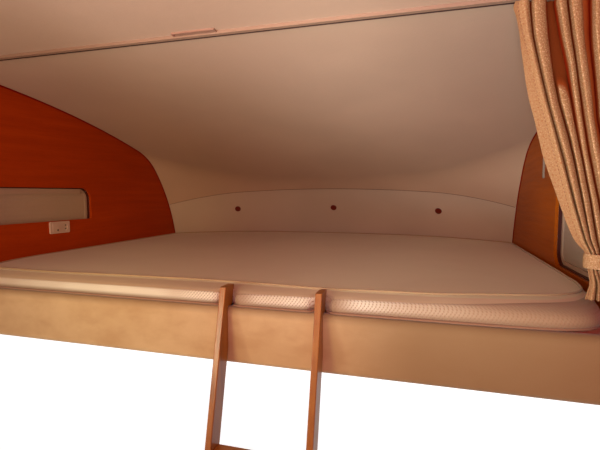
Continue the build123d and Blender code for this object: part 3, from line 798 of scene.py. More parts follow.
class Bench:
    """The moves that shape a piece by hand."""

    rod_sides: int = 24
    sharp: float = math.radians(35)

    @staticmethod
    def clear() -> None:
        """Deselect everything."""
        bpy.ops.object.select_all(action="DESELECT")

    @staticmethod
    def hold(piece: Piece) -> None:
        """Select one piece alone and make it the active one.

        Args:
            piece: The piece.
        """
        Bench.clear()
        piece.select_set(True)
        bpy.context.view_layer.objects.active = piece

    @staticmethod
    def named(name: str) -> Piece:
        """Name the piece that was just added and settle its place in its mesh.

        Args:
            name: The piece's name.

        Returns:
            The piece.
        """
        piece = bpy.context.object
        piece.name = piece.data.name = name
        bpy.ops.object.transform_apply(location=True, rotation=True, scale=True)
        return piece

    @staticmethod
    def block(name: str, low: Sequence[float], high: Sequence[float]) -> Piece:
        """Add a block between two corners.

        Args:
            name: The piece's name.
            low, high: Its lowest and highest corners.

        Returns:
            The piece.
        """
        Bench.clear()
        low, high = Vector(low), Vector(high)
        bpy.ops.mesh.primitive_cube_add(size=1, location=(low + high) / 2, scale=high - low)
        return Bench.named(name)

    @staticmethod
    def rod(name: str, centre: Sequence[float], radius: float, depth: float, axis: Sequence[float]) -> Piece:
        """Add a cylinder.

        Args:
            name: The piece's name.
            centre: Its middle.
            radius: Its radius.
            depth: Its length.
            axis: The direction of its length.

        Returns:
            The piece.
        """
        Bench.clear()
        turn = Vector(axis).to_track_quat("Z", "Y").to_euler()
        bpy.ops.mesh.primitive_cylinder_add(
            vertices=Bench.rod_sides, radius=radius, depth=depth, location=centre, rotation=turn
        )
        return Bench.named(name)

    @staticmethod
    def modify(piece: Piece, kind: str, **settings: object) -> None:
        """Add a modifier and apply it.

        Args:
            piece: The piece.
            kind: The modifier's type.
            settings: Its properties.
        """
        Bench.hold(piece)
        modifier = piece.modifiers.new(kind.lower(), kind)
        for key, value in settings.items():
            setattr(modifier, key, value)
        bpy.ops.object.modifier_apply(modifier=modifier.name)

    @staticmethod
    def bevel(piece: Piece, width: float, segments: int) -> None:
        """Round all sharp edges of a piece."""
        limit = {"limit_method": "ANGLE", "angle_limit": Bench.sharp}
        Bench.modify(piece, "BEVEL", width=width, segments=segments, **limit)

    @staticmethod
    def smooth(piece: Piece, angle: float) -> None:
        """Shade smooth, except across edges sharper than the angle in degrees."""
        Bench.hold(piece)
        bpy.ops.object.shade_smooth_by_angle(angle=math.radians(angle))

    @staticmethod
    def outwards(piece: Piece) -> None:
        """Turn all faces outwards.

        Args:
            piece: The piece.
        """
        Bench.hold(piece)
        bpy.ops.object.mode_set(mode="EDIT")
        bpy.ops.mesh.select_all(action="SELECT")
        bpy.ops.mesh.normals_make_consistent(inside=False)
        bpy.ops.object.mode_set(mode="OBJECT")

    @staticmethod
    def tube(
        name: str, line: Sequence[Vector], radius: float, closed: bool = False, sides: int = 2
    ) -> Piece:
        """Make a round strand along a line.

        Args:
            name: The piece's name.
            line: The points of its middle.
            radius: Its radius.
            closed: Whether it ends where it begins.
            sides: Bevel resolution.

        Returns:
            The piece, as a mesh.
        """
        curve = bpy.data.curves.new(name, "CURVE")
        curve.dimensions = "3D"
        curve.bevel_depth = radius
        curve.bevel_resolution = sides
        curve.use_fill_caps = not closed
        spline = curve.splines.new("POLY")
        spline.points.add(len(line) - 1)
        for point, place in zip(spline.points, line):
            point.co = (*place, 1.0)
        spline.use_cyclic_u = closed
        piece = bpy.data.objects.new(name, curve)
        bpy.context.scene.collection.objects.link(piece)
        Bench.hold(piece)
        bpy.ops.object.convert(target="MESH")
        piece = bpy.context.object
        piece.name = name
        return piece

    @staticmethod
    def mesh(
        name: str, points: Sequence[Vector], faces: Sequence[Sequence[int]], **maps: Sequence
    ) -> Piece:
        """Make a piece from points and faces.

        Args:
            name: The piece's name.
            points: Its vertices.
            faces: The vertex numbers of each face.
            maps: The vertices' flat places, by the name of their map.

        Returns:
            The piece.
        """
        mesh = bpy.data.meshes.new(name)
        mesh.from_pydata(points, [], faces)
        for title, flat in maps.items():
            layer = mesh.uv_layers.new(name=title)
            for loop in mesh.loops:
                layer.data[loop.index].uv = flat[loop.vertex_index]
        piece = bpy.data.objects.new(name, mesh)
        bpy.context.scene.collection.objects.link(piece)
        return piece

    @staticmethod
    def grid(columns: int, rows: int) -> list[tuple[int, int, int, int]]:
        """Faces of a grid whose points are counted row by row."""
        starts = [row * (columns + 1) + column for row in range(rows) for column in range(columns)]
        return [(start, start + columns + 1, start + columns + 2, start + 1) for start in starts]

    @staticmethod
    def sheet(
        name: str, columns: int, rows: int, at: Callable[[float, float], Vector], size: Sequence[float]
    ) -> Piece:
        """Make a cloth grid with a map in metres.

        Args:
            name: The piece's name.
            columns, rows: Faces across and down.
            at: The place of the point at a share across and down.
            size: Flat width and length of the cloth.

        Returns:
            The piece.
        """
        shares = [(i / columns, j / rows) for j in range(rows + 1) for i in range(columns + 1)]
        points = [at(across, down) for across, down in shares]
        flat = [(across * size[0], down * size[1]) for across, down in shares]
        return Bench.mesh(name, points, Bench.grid(columns, rows), cloth=flat)

    @staticmethod
    def thicken(piece: Piece, thickness: float, offset: float = 0.0) -> None:
        """Give a sheet its thickness, with all faces outwards."""
        Bench.modify(piece, "SOLIDIFY", thickness=thickness, offset=offset)
        Bench.outwards(piece)


def finish_piece(piece: Piece, finish: Finish, body: str) -> None:
    """Give a new piece its material and body.

    Args:
        piece: The piece.
        finish: Its finish.
        body: The CAD body that it rides on.
    """
    piece.data.materials.append(material_of(finish))
    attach(piece, body)
    LOG.info("%s: %d faces", piece.name, len(piece.data.polygons))


def dress(finish: Finish, *nodes: str) -> None:
    """Give CAD nodes a finish.

    Args:
        finish: The finish.
        nodes: Names of the nodes.
    """
    for name in nodes:
        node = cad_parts[name]
        node.data.materials.clear()
        node.data.materials.append(material_of(finish))
        LOG.info("%s wears %s", name, finish.name)


@dataclass(frozen=True)
class Lamp:
    """One lamp: where it stands, what it points at, and its light."""

    name: str
    place: tuple[float, float, float]
    target: tuple[float, float, float]
    size: float
    power: float
    colour: Colour = (1.0, 1.0, 1.0)
    cone: float = 0.0  # degrees; 0 for a square panel


LAMPS = (
    Lamp("lamp_front", (-2.5, 6.0, 3.5), (0.0, 1.0, 0.4), 4.0, 190.0),
    Lamp("lamp_above", (3.0, 0.5, 5.0), (0.0, 0.6, 0.4), 4.0, 160.0),
    Lamp("near_right", (0.5, -1.7, 0.75), (0.7, 0.3, 0.8), 0.4, 10.8, (1.0, 0.14, 0.22)),
    Lamp("near_left", (-0.6, -1.7, 0.3), (0.2, 0.5, 0.5), 0.5, 12.1, (1.0, 0.89, 0.58)),
    Lamp("over_bed", (0.3, -1.5, 1.2), (0.75, 0.15, 0.23), 0.2, 20.5, (0.74, 1.0, 0.97), 40.0),
    Lamp("to_nose", (0.4, -1.6, 0.5), (0.2, 1.5, 0.6), 0.2, 25.0, (0.74, 0.90, 1.0), 36.0),
    Lamp("beam_right", (0.5, -1.6, 0.1), (0.82, 0.25, 0.95), 0.15, 91.0, (0.76, 0.96, 1.0), 55.0),
    Lamp("beam_rear", (0.3, -2.0, 0.2), (0.1, -0.25, 0.96), 0.15, 124.0, (1.0, 0.97, 0.84), 34.0),
    Lamp("to_panel", (0.5, -1.5, 0.5), (-1.05, 0.95, 0.5), 0.2, 40.0, (1.0, 0.89, 0.40), 28.0),
    Lamp("low_left", (-2.2, -2.3, -0.3), (0.1, -0.05, 0.15), 0.12, 69.0, (1.0, 0.99, 0.76), 26.0),
    Lamp("beam_across", (-1.5, -2.0, -0.1), (0.75, 0.15, 0.92), 0.15, 114.0, (0.94, 0.80, 1.0), 36.0),
)


@dataclass
class Studio:
    """Pale floor, soft lamps and the camera."""

    eye: tuple[float, float, float] = (0.576, -1.182, 0.501)
    yaw: float = math.radians(16.07)
    pitch: float = math.radians(-4.25)
    lens: float = 25.68
    sensor: float = 36.0
    nearest: float = 0.02
    farthest: float = 100.0
    floor_size: float = 40.0
    floor_colour: Colour = (0.80, 0.80, 0.80)
    floor_glow: float = 0.6  # only where the camera sees the floor
    world_colour: Colour = (1.0, 0.88, 0.88)
    world_strength: float = 0.34

    def build(self) -> None:
        """Set up the view, the floor, the world and the lamps."""
        bpy.context.scene.view_settings.view_transform = "Standard"
        self.floor()
        self.world()
        self.lamps()
        self.camera()

    def floor(self) -> None:
        """Lay a pale floor under the ladder's shoes."""
        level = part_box("ladder_shoes")[0].z
        Bench.clear()
        bpy.ops.mesh.primitive_plane_add(size=self.floor_size, location=(0, 0, level))
        piece = Bench.named("studio_floor")
        shader = Shader("studio_floor")
        matt = shader.node("BsdfDiffuse", {}, {"Color": (*self.floor_colour, 1.0)})
        glow = shader.node("Emission", {}, {"Color": (1, 1, 1, 1), "Strength": self.floor_glow})
        lit = shader.node("AddShader", {}, {0: matt, 1: glow})
        shader.close(shader.node("MixShader", {}, {0: shader.direct(), 1: matt, 2: lit}))
        piece.data.materials.append(shader.owner)

    def world(self) -> None:
        """Light the scene evenly, with white behind it."""
        shader = Shader("studio", world=True)
        colour = (*self.world_colour, 1.0)
        soft = shader.node("Background", {}, {"Color": colour, "Strength": self.world_strength})
        white = shader.node("Background", {}, {"Color": (1, 1, 1, 1), "Strength": 1.0})
        shader.close(shader.node("MixShader", {}, {0: shader.direct(), 1: soft, 2: white}))
        bpy.context.scene.world = shader.owner

    def lamps(self) -> None:
        """Hang the lamps: daylight from outside, and the low warm light of the cabin."""
        for row in LAMPS:
            data = bpy.data.lights.new(row.name, "SPOT" if row.cone else "AREA")
            data.energy = row.power
            data.color = row.colour
            if row.cone:
                data.spot_size = math.radians(row.cone)
                data.spot_blend = 1.0
                data.shadow_soft_size = row.size
            else:
                data.shape = "SQUARE"
                data.size = row.size
            lamp = bpy.data.objects.new(row.name, data)
            lamp.location = row.place
            sight = Vector(row.target) - Vector(row.place)
            lamp.rotation_euler = sight.to_track_quat("-Z", "Y").to_euler()
            bpy.context.scene.collection.objects.link(lamp)

    def camera(self) -> None:
        """Stand the camera where the photograph was taken."""
        data = bpy.data.cameras.new("camera")
        data.lens = self.lens
        data.sensor_width = self.sensor
        data.clip_start = self.nearest
        data.clip_end = self.farthest
        camera = bpy.data.objects.new("camera", data)
        camera.location = self.eye
        camera.rotation_euler = (math.pi / 2 + self.pitch, 0, self.yaw)
        bpy.context.scene.collection.objects.link(camera)
        bpy.context.scene.camera = camera


@dataclass
class OuterShell:
    """Roof, nose, walls, mouldings and marker lamps."""

    def build(self) -> None:
        """Dress the outside."""
        dress(GELCOAT, "nose_shell", "side_wall_left", "side_wall_right")
        dress(MOULDING, "corner_moulding_left", "corner_moulding_right", "nose_skirt")
        dress(LENS, "marker_lamps")
        dress(FLOOR_SKIN, "alcove_floor")


@dataclass
class Linings:
    """Ceiling and nose linings with their caps, and the arched seam between them."""

    flat_half: float = 0.600
    flat_rise: float = 0.020
    crown: float = 0.529
    shoulder_run: float = 0.450
    shoulder_fall: float = 0.085
    strip_radius: float = 0.0011
    strip_setback: float = 0.0022
    strip_steps: int = 105
    strip_step: float = 0.00995
    sight_start: float = 0.6
    sight_rise: float = 0.006

    def build(self) -> None:
        """Dress the linings."""
        dress(LINING, "ceiling_lining")
        dress(NOSE_LINING, "nose_lining")
        dress(CAP, "lining_caps")
        self.seam()

    def seam_height(self, x: float) -> float:
        """Height of the middle of the gap between the linings.

        Args:
            x: Distance from the middle, to either side.

        Returns:
            The height.
        """
        x = abs(x)
        flat_radius = (self.flat_half**2 + self.flat_rise**2) / (2 * self.flat_rise)
        if x <= self.flat_half:
            return self.crown - flat_radius + math.sqrt(flat_radius**2 - x**2)
        slope = math.asin(self.flat_half / flat_radius)
        inwards = Vector((-math.sin(slope), -math.cos(slope)))
        chord = Vector((self.shoulder_run, -self.shoulder_fall))
        radius = chord.length_squared / (2 * chord.dot(inwards))
        centre = Vector((self.flat_half, self.crown - self.flat_rise)) + inwards * radius
        return centre.y + math.sqrt(radius**2 - (x - centre.x) ** 2)

    def seam(self) -> None:
        """Lay a thin strip in the gap, a little behind the ceiling lining's face."""
        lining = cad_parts["ceiling_lining"]
        line = []
        for step in range(-self.strip_steps, self.strip_steps + 1):
            x = step * self.strip_step
            z = self.seam_height(x)
            start = Vector((x, self.sight_start, z + self.sight_rise))
            hit, place, _, _ = lining.ray_cast(start, Vector((0, 1, 0)))
            if hit:
                line.append(Vector((x, place.y + self.strip_setback, z)))
        strip = Bench.tube("seam_strip", line, self.strip_radius, sides=1)
        finish_piece(strip, SEAM, "root")


@dataclass(frozen=True)
class Stud:
    """One small round part of the switch plate: its middle, its radius and how far it stands out."""

    name: str
    y: float
    z: float
    radius: float
    rise: float


@dataclass
class SidePanels:
    """Wooden side panels, their edge trim and the fittings on them."""

    studs: tuple[Stud, ...] = (
        Stud("plate_knob", 0.3990, 0.3310, 0.0046, 0.0030),
        Stud("plate_pin_above", 0.4455, 0.3510, 0.0028, 0.0016),
        Stud("plate_pin_below", 0.4455, 0.3345, 0.0028, 0.0016),
    )
    stud_seat: float = 0.0025  # below the plate's highest point
    stud_root: float = 0.002
    stud_bevel: float = 0.2  # share of the radius

    def build(self) -> None:
        """Dress the panels and what is fixed to them."""
        dress(CHERRY_LEFT, "side_panel_left")
        dress(CHERRY_RIGHT, "side_panel_right")
        dress(EDGE_TRIM, "panel_trim_left", "panel_trim_right")
        dress(SATIN, "tieback_hook")
        dress(LAMP_BODY, "reading_lamp")
        dress(PLATE, "switch_plate")
        self.plate_details()

    def plate_details(self) -> None:
        """Add the knob and the socket's pins to the switch plate."""
        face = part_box("switch_plate")[1].x - self.stud_seat
        for stud in self.studs:
            centre = (face + (stud.rise - self.stud_root) / 2, stud.y, stud.z)
            depth = stud.rise + self.stud_root
            piece = Bench.rod(stud.name, centre, stud.radius, depth, (1, 0, 0))
            Bench.bevel(piece, stud.radius * self.stud_bevel, segments=2)
            finish_piece(piece, DARK_HOLE, "root")


@dataclass
class SideWindows:
    """Window frames, panes and closed pleated blinds."""

    pleat: float = 0.020
    rail: float = 0.0145
    rail_corner: float = 0.055
    depth: float = 0.0007
    cloth: float = 0.0005
    setback: float = 0.0025  # from the rails' outer side
    corner_share: float = 0.92
    columns: int = 40
    rows_in_pleat: int = 6
    hinge_radius: float = 0.0045
    hinge_setback: float = 0.003
    hinge_share: float = 0.86
    hinge_bevel: float = 0.001

    def build(self) -> None:
        """Dress the windows and hang the pleats."""
        for side, sign in (("left", -1), ("right", 1)):
            dress(BLACK_FRAME, f"window_frame_{side}")
            dress(PANE, f"window_pane_{side}")
            dress(BLIND_RAIL, f"window_blind_{side}")
            self.pleats(side, sign)
            self.hinge(side, sign)

    def hinge(self, side: str, sign: int) -> None:
        """Fix a hinge rail over the pane, on the outside.

        Args:
            side: Left or right.
            sign: Which way the outside lies along X.
        """
        low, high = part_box(f"window_frame_{side}")
        outer = high.x if sign > 0 else low.x
        centre = (outer - sign * self.hinge_setback, (low.y + high.y) / 2, high.z + self.hinge_radius)
        length = (high.y - low.y) * self.hinge_share
        rail = Bench.rod(f"window_hinge_{side}", centre, self.hinge_radius, length, (0, 1, 0))
        Bench.bevel(rail, self.hinge_bevel, segments=2)
        finish_piece(rail, RUBBER, "root")

    def pleats(self, side: str, sign: int) -> None:
        """Fold a sheet inside the rails of one blind.

        Args:
            side: Left or right.
            sign: Which way the outside lies along X.
        """
        low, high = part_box(f"window_blind_{side}")
        radius = self.rail_corner - self.rail
        outer = high.x if sign > 0 else low.x
        face = outer - sign * self.setback
        near, far = low.y + self.rail, high.y - self.rail
        foot, head = low.z + self.rail, high.z - self.rail
        count = round((head - foot) / self.pleat)

        def inset(z: float) -> float:
            """How much the rounded corners narrow the sheet at a height."""
            gap = min(z - foot, head - z)
            return radius - math.sqrt(max(radius**2 - max(radius - gap, 0) ** 2, 0))

        def at(across: float, down: float) -> Vector:
            """Point of the pleated sheet.

            Args:
                across: Share from the near side to the far one.
                down: Share from the top to the foot.

            Returns:
                The point.
            """
            z = head - down * (head - foot)
            edge = inset(z) * self.corner_share
            y = near + edge + across * (far - near - 2 * edge)
            wave = abs((down * count) % 1.0 - 0.5) * 2
            return Vector((face - sign * self.depth * wave, y, z))

        width, drop = far - near, head - foot
        length = count * 2 * math.hypot(self.depth, drop / count / 2)
        rows = count * self.rows_in_pleat
        piece = Bench.sheet(f"blind_pleats_{side}", self.columns, rows, at, (width, length))
        Bench.thicken(piece, self.cloth)
        finish_piece(piece, PLEAT, "root")


class Line:
    """An open line through points, read by its length."""

    def __init__(self, points: Sequence[Sequence[float]]) -> None:
        """Measure the line.

        Args:
            points: Its points, in order.
        """
        self.points = [Vector(point) for point in points]
        self.marks = [0.0]
        for first, second in zip(self.points, self.points[1:]):
            self.marks.append(self.marks[-1] + (second - first).length)

    def at(self, share: float) -> Vector:
        """Find the point at a share of the whole length.

        Args:
            share: The share, 0 to 1.

        Returns:
            The point.
        """
        mark = min(max(share, 0.0), 1.0) * self.marks[-1]
        i = max(bisect_left(self.marks, mark), 1)
        part = (mark - self.marks[i - 1]) / max(self.marks[i] - self.marks[i - 1], 1e-9)
        return self.points[i - 1].lerp(self.points[i], part)

    def softened(self, rounds: int) -> "Line":
        """Round off the corners of the line, keeping its ends.

        Args:
            rounds: How often each corner is cut.

        Returns:
            The new line.
        """
        points = self.points
        for _ in range(rounds):
            cut = [points[0]]
            for first, second in zip(points, points[1:]):
                cut += [first.lerp(second, 0.25), first.lerp(second, 0.75)]
            points = [*cut, points[-1]]
        return Line(points)


def blend(value: float, *stops: tuple[float, float]) -> float:
    """Read a table of places and values, with straight runs between its rows.

    Args:
        value: The place.
        stops: Places, rising, with their values.

    Returns:
        The value there.
    """
    for (low, first), (high, second) in zip(stops, stops[1:]):
        if value <= high:
            return first + (second - first) * min(max((value - low) / (high - low), 0.0), 1.0)
    return stops[-1][1]


@dataclass
class Bed:
    """Frame, deck, mattress and the upholstered board in front of it."""

    # Faces of the pad, its swelling by cloth simulation, and the unevenness of its top
    across: int = 130
    along: int = 44
    down: int = 16
    swell: float = 0.0025
    pressure: float = 2.0
    frames: int = 14
    quality: int = 4
    cloth_mass: float = 0.4
    crown: float = 0.0015
    uneven: float = 0.0022
    uneven_scale: float = 2.3
    uneven_slice: float = 0.3
    rim_faces: int = 3
    # Far edge: where the solid's corners for it begin, and how level with its top they are
    far_from: float = 1.0
    level: float = 1e-4
    # Near edge of the mattress in plan, at its top, at the foot of its border, and below the fascia's top
    top_line: Table = (
        (-1.042, 0.300), (-1.034, 0.150), (-1.010, 0.060), (-0.960, 0.015), (-0.880, -0.006),
        (-0.620, -0.010), (-0.465, 0.001), (-0.275, 0.007), (-0.098, 0.014), (0.039, 0.015),
        (0.174, 0.002), (0.297, -0.005), (0.410, -0.001), (0.519, 0.006), (0.598, 0.010),
        (0.650, 0.018), (0.700, 0.032), (0.778, 0.050), (0.828, 0.059), (0.904, 0.079),
        (0.940, 0.096), (0.985, 0.136), (1.013, 0.180), (1.024, 0.240), (1.030, 0.300),
    )
    foot_line: Table = (
        (-1.043, 0.300), (-1.040, 0.080), (-1.020, 0.000), (-0.970, -0.036), (-0.880, -0.046),
        (0.700, -0.046), (0.850, -0.040), (0.930, -0.030), (0.985, -0.004), (1.020, 0.050),
        (1.036, 0.140), (1.040, 0.300),
    )
    body_corner: Table = ((1.044, 0.300), (1.044, 0.110), (1.012, 0.032), (0.934, 0.0))
    # Section of the near side: how far down the border ends, then lean and height along it and below it
    border_share: float = 0.62
    lean: Table = (
        (0.0, 0.0), (0.14, 0.34), (0.30, 0.72), (0.42, 0.90), (0.54, 0.98), (0.80, 1.03), (0.94, 1.02),
        (1.0, 0.96),
    )
    heights: Table = (
        (0.14, 0.2225), (0.30, 0.2145), (0.42, 0.207), (0.54, 0.198), (0.80, 0.181), (0.94, 0.1735),
        (1.0, 0.1705),
    )
    tuck: Table = ((0.0, 0.06), (0.25, 1.0), (1.0, 1.0))
    tuck_heights: Table = ((0.0, 0.1700), (0.25, 0.1690))
    # Dents that the ladder's rails press into the border
    rail_middles: tuple[float, float] = (0.023, 0.308)
    dent_half: float = 0.012
    dent_fade: float = 0.014
    dent_y: float = -0.0075
    # Quilted border: its top and its height from left to right, its cells and its cloth
    border_top: Table = ((0.0, 0.45), (0.55, 0.40), (0.72, 0.32), (0.85, 0.18), (1.0, 0.13))
    border_height: Table = ((0.0, 0.036), (0.72, 0.041), (0.85, 0.050), (1.0, 0.053))
    border_foot: float = 0.97
    border_drop: float = 0.048
    border_column: float = 0.0017
    border_rows: int = 28
    border_lift: float = 0.0004
    border_cloth: float = 0.0012
    border_fade: int = 2
    quilt: tuple[float, float] = (0.0102, 0.0108)
    relief: float = 0.0017
    seam_depth: float = 0.2
    seam_power: float = 1.5
    pit_depth: float = 0.8
    # Piping, and the brown strand along the foot that stands in for the shade under the border
    heart: tuple[float, float] = (0.0, 0.7)
    piping_radius: float = 0.0036
    piping_out: float = 0.0006
    piping_lift: Table = ((0.96, 0.0004), (1.02, 0.0020))
    shade_strand_radius: float = 0.0034
    shade_strand_start: float = 0.04
    shade_strand_share: float = 0.985
    shade_strand_steps: int = 240
    shade_strand_offset: tuple[float, float, float] = (0.0, -0.0035, 0.0008)
    # Upholstered board
    fascia_faces: tuple[int, int, int] = (260, 6, 22)
    fascia_bevel: float = 0.017
    crease_depth: float = 0.0016
    crease_scale: tuple[float, float] = (9.0, 5.0)
    crease_slice: float = 3.1
    crease_fade: float = 0.03
    crease_reach: float = 0.004

    def build(self) -> None:
        """Make and dress the bed."""
        dress(TIMBER, "bed_frame")
        dress(PLYWOOD, "bed_deck")
        self.mattress()
        self.fascia()

    def outlines(self) -> None:
        """Read the mattress solid, and lay out the edges that the pad is drawn between."""
        self.low, self.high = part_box("mattress")
        corners = [vertex.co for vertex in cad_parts["mattress"].data.vertices]
        rim = [
            corner for corner in corners
            if corner.y > self.far_from and abs(corner.z - self.high.z) < self.level
        ]
        far = sorted({(round(corner.x, 3), round(corner.y, 4)) for corner in rim})
        left = [(-x, y) for x, y in self.body_corner]
        straight = [(x / 10, 0.0) for x in range(-9, 10)]
        body = (*left, *straight, *reversed(self.body_corner))
        self.near = {
            "top": self.plan_line(self.top_line).softened(rounds=2),
            "foot": self.plan_line(self.foot_line).softened(rounds=3),
            "body": self.plan_line(body).softened(rounds=2),
        }
        self.far = self.plan_line(far)

    @staticmethod
    def plan_line(points: Sequence[tuple[float, float]]) -> Line:
        """Line through points of the plan."""
        return Line([(x, y, 0) for x, y in points])

    def near_point(self, across: float, down: float) -> Vector:
        """Point on the near border, leaning out over the fascia.

        Args:
            across: Share from left to right.
            down: Share from the top edge to the underside.

        Returns:
            The point.
        """
        top, foot, body = (self.near[key].at(across) for key in ("top", "foot", "body"))
        if down < self.border_share:
            share = down / self.border_share
            place = top.lerp(foot, blend(share, *self.lean))
            place.z = blend(share, (0.0, self.high.z), *self.heights)
        else:
            share = (down - self.border_share) / (1 - self.border_share)
            place = foot.lerp(body, blend(share, *self.tuck))
            place.z = blend(share, *self.tuck_heights, (1.0, self.low.z))
        for middle in self.rail_middles:
            hold = 1 - min(max((abs(place.x - middle) - self.dent_half) / self.dent_fade, 0.0), 1.0)
            hold = hold * hold * (3 - 2 * hold)
            place.y += hold * max(self.dent_y - place.y, 0.0)
        return place

    def pad_point(self, across: float, along: float, down: float) -> Vector:
        """Point of the pad, drawn between its four edges at one level.

        Args:
            across: Share from left to right.
            along: Share from the near edge to the far one.
            down: Share from the top to the underside.

        Returns:
            The point.
        """
        near = self.near_point(across, down)
        far = self.far.at(across)
        far.z = near.z
        starts = [self.near_point(end, down) for end in (0.0, 1.0)]
        ends = [Vector((*self.far.at(end).xy, near.z)) for end in (0.0, 1.0)]
        left, right = (start.lerp(end, along) for start, end in zip(starts, ends))
        flat = near.lerp(far, along) + left.lerp(right, across)
        cross = starts[0].lerp(starts[1], across).lerp(ends[0].lerp(ends[1], across), along)
        place = flat - cross
        place.z = near.z
        return place

    def pad(self) -> tuple[Piece, dict[tuple[int, int, int], int]]:
        """Draw the pad as a closed grid of faces.

        Returns:
            The pad, and its vertices' numbers by their steps across, along and down.
        """
        places, index, faces = [], {}, []

        def point(i: int, j: int, k: int) -> int:
            """Find the vertex at a step across, along and down, and place it at its first use.

            Args:
                i, j, k: The steps across, along and down.

            Returns:
                The vertex's number.
            """
            if (i, j, k) not in index:
                index[i, j, k] = len(places)
                spot = self.pad_point(i / self.across, j / self.along, k / self.down)
                if k == 0:
                    rise = min(j, self.along - j, i, self.across - i) / self.rim_faces
                    x, y = spot.x * self.uneven_scale, spot.y * self.uneven_scale
                    soft = noise.noise(Vector((x, y, self.uneven_slice)))
                    spot.z += (self.crown + self.uneven * soft) * min(rise, 1.0)
                places.append(spot)
            return index[i, j, k]

        steps = (self.across, self.along, self.down)
        for axis in range(3):
            first, second = [a for a in range(3) if a != axis]
            for end in (0, steps[axis]):
                for a in range(steps[first]):
                    for b in range(steps[second]):
                        corners = []
                        for da, db in ((0, 0), (1, 0), (1, 1), (0, 1)):
                            spot = [0, 0, 0]
                            spot[axis], spot[first], spot[second] = end, a + da, b + db
                            corners.append(point(*spot))
                        faces.append(corners)
        pad = Bench.mesh("mattress_pad", places, faces)
        Bench.outwards(pad)
        return pad, index

    def mattress(self) -> None:
        """Draw the pad, let it swell, and sew its border and piping on."""
        self.outlines()
        pad, index = self.pad()
        self.swollen(pad)
        ring = [index[i, 0, 0] for i in range(self.across + 1)]
        ring += [index[self.across, j, 0] for j in range(1, self.along + 1)]
        ring += [index[i, self.along, 0] for i in range(self.across - 1, -1, -1)]
        ring += [index[0, j, 0] for j in range(self.along - 1, 0, -1)]
        edge = [pad.data.vertices[i].co.copy() for i in ring]
        Bench.modify(pad, "SUBSURF", levels=1, render_levels=1)
        for face in pad.data.polygons:
            face.use_smooth = True
        finish_piece(pad, KNIT_TOP, "root")
        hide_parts("mattress")
        self.border(pad)
        self.piping(edge)

    def pillow(self, across: float, up: float) -> float:
        """Height of the quilting: low along its two seams, lowest where they cross.

        Args:
            across, up: A place, counted in cells.

        Returns:
            The height, 0 to 1.
        """
        first, second = (1 - abs(math.sin(math.pi * turn)) for turn in (across + up, across - up))
        seams = self.seam_depth * (first + second) ** self.seam_power / 2
        return 1 - seams - self.pit_depth * first * second

    def border(self, pad: Piece) -> None:
        """Lay the quilted strip on the near border, below its plain band.

        Args:
            pad: The mattress pad.
        """
        foot = self.border_share * self.border_foot
        width = self.near["foot"].marks[-1]
        columns, rows = round(width / self.border_column), self.border_rows
        points, flat = [], []
        for row in range(rows + 1):
            for column in range(columns + 1):
                across, down = column / columns, row / rows
                top = self.border_share * blend(across, *self.border_top)
                height = blend(across, *self.border_height)
                spot = self.near_point(across, top + (foot - top) * down)
                _, place, normal, _ = pad.closest_point_on_mesh(spot)
                cell = (across * width / self.quilt[0], (down - 1) * height / self.quilt[1])
                edge = min(row, rows - row, column, columns - column) / self.border_fade
                rise = (self.border_lift + self.relief * self.pillow(*cell)) * min(edge, 1.0)
                points.append(place + normal * (self.border_lift + rise))
                flat.append(cell)
        strip = Bench.mesh("mattress_border", points, Bench.grid(columns, rows), cloth=flat)
        Bench.thicken(strip, self.border_cloth, offset=-1.0)
        Bench.smooth(strip, angle=80)
        finish_piece(strip, KNIT_BORDER, "root")

    def piping(self, edge: Sequence[Vector]) -> None:
        """Sew a strand round the top edge, and lay a brown strand along the foot as painted shade.

        Args:
            edge: Points of the pad's top edge.
        """
        middle = Vector((*self.heart, self.high.z))
        line = []
        for point in edge:
            inwards = (middle - point).normalized()
            lift = blend(point.x, *self.piping_lift)
            line.append(point - inwards * self.piping_out + Vector((0, 0, lift)))
        strand = Bench.tube("mattress_piping_top", line, self.piping_radius, closed=True)
        Bench.smooth(strand, angle=180)
        finish_piece(strand, PIPING, "root")
        start, run, steps = self.shade_strand_start, 1 - 2 * self.shade_strand_start, self.shade_strand_steps
        down = self.border_share * self.shade_strand_share
        offset = Vector(self.shade_strand_offset)
        line = [self.near_point(start + run * i / steps, down) + offset for i in range(steps + 1)]
        # Painted shade: a brown strand along the border's foot
        shade_strand = Bench.tube("mattress_foot_shade_strand", line, self.shade_strand_radius)
        Bench.smooth(shade_strand, angle=180)
        finish_piece(shade_strand, FOOT_SHADE_STRAND, "root")

    def swollen(self, pad: Piece) -> None:
        """Let cloth simulation swell the pad, no further than its cap.

        Args:
            pad: The pad, before it is subdivided.
        """
        rest = [vertex.co.copy() for vertex in pad.data.vertices]
        Bench.hold(pad)
        cloth = pad.modifiers.new("cloth", "CLOTH")
        cloth.settings.quality = self.quality
        cloth.settings.mass = self.cloth_mass
        cloth.settings.use_pressure = True
        cloth.settings.uniform_pressure_force = self.pressure
        cloth.settings.effector_weights.gravity = 0.0
        cloth.collision_settings.use_collision = False
        cloth.point_cache.frame_start = 1
        cloth.point_cache.frame_end = self.frames
        scene = bpy.context.scene
        for number in range(1, self.frames + 1):
            scene.frame_set(number)
        bpy.ops.object.modifier_apply(modifier="cloth")
        scene.frame_set(1)
        for vertex, place in zip(pad.data.vertices, rest):
            move = vertex.co - place
            if move.length > self.swell:
                vertex.co = place + move * (self.swell / move.length)
            vertex.co.x = min(max(vertex.co.x, self.low.x), self.high.x)

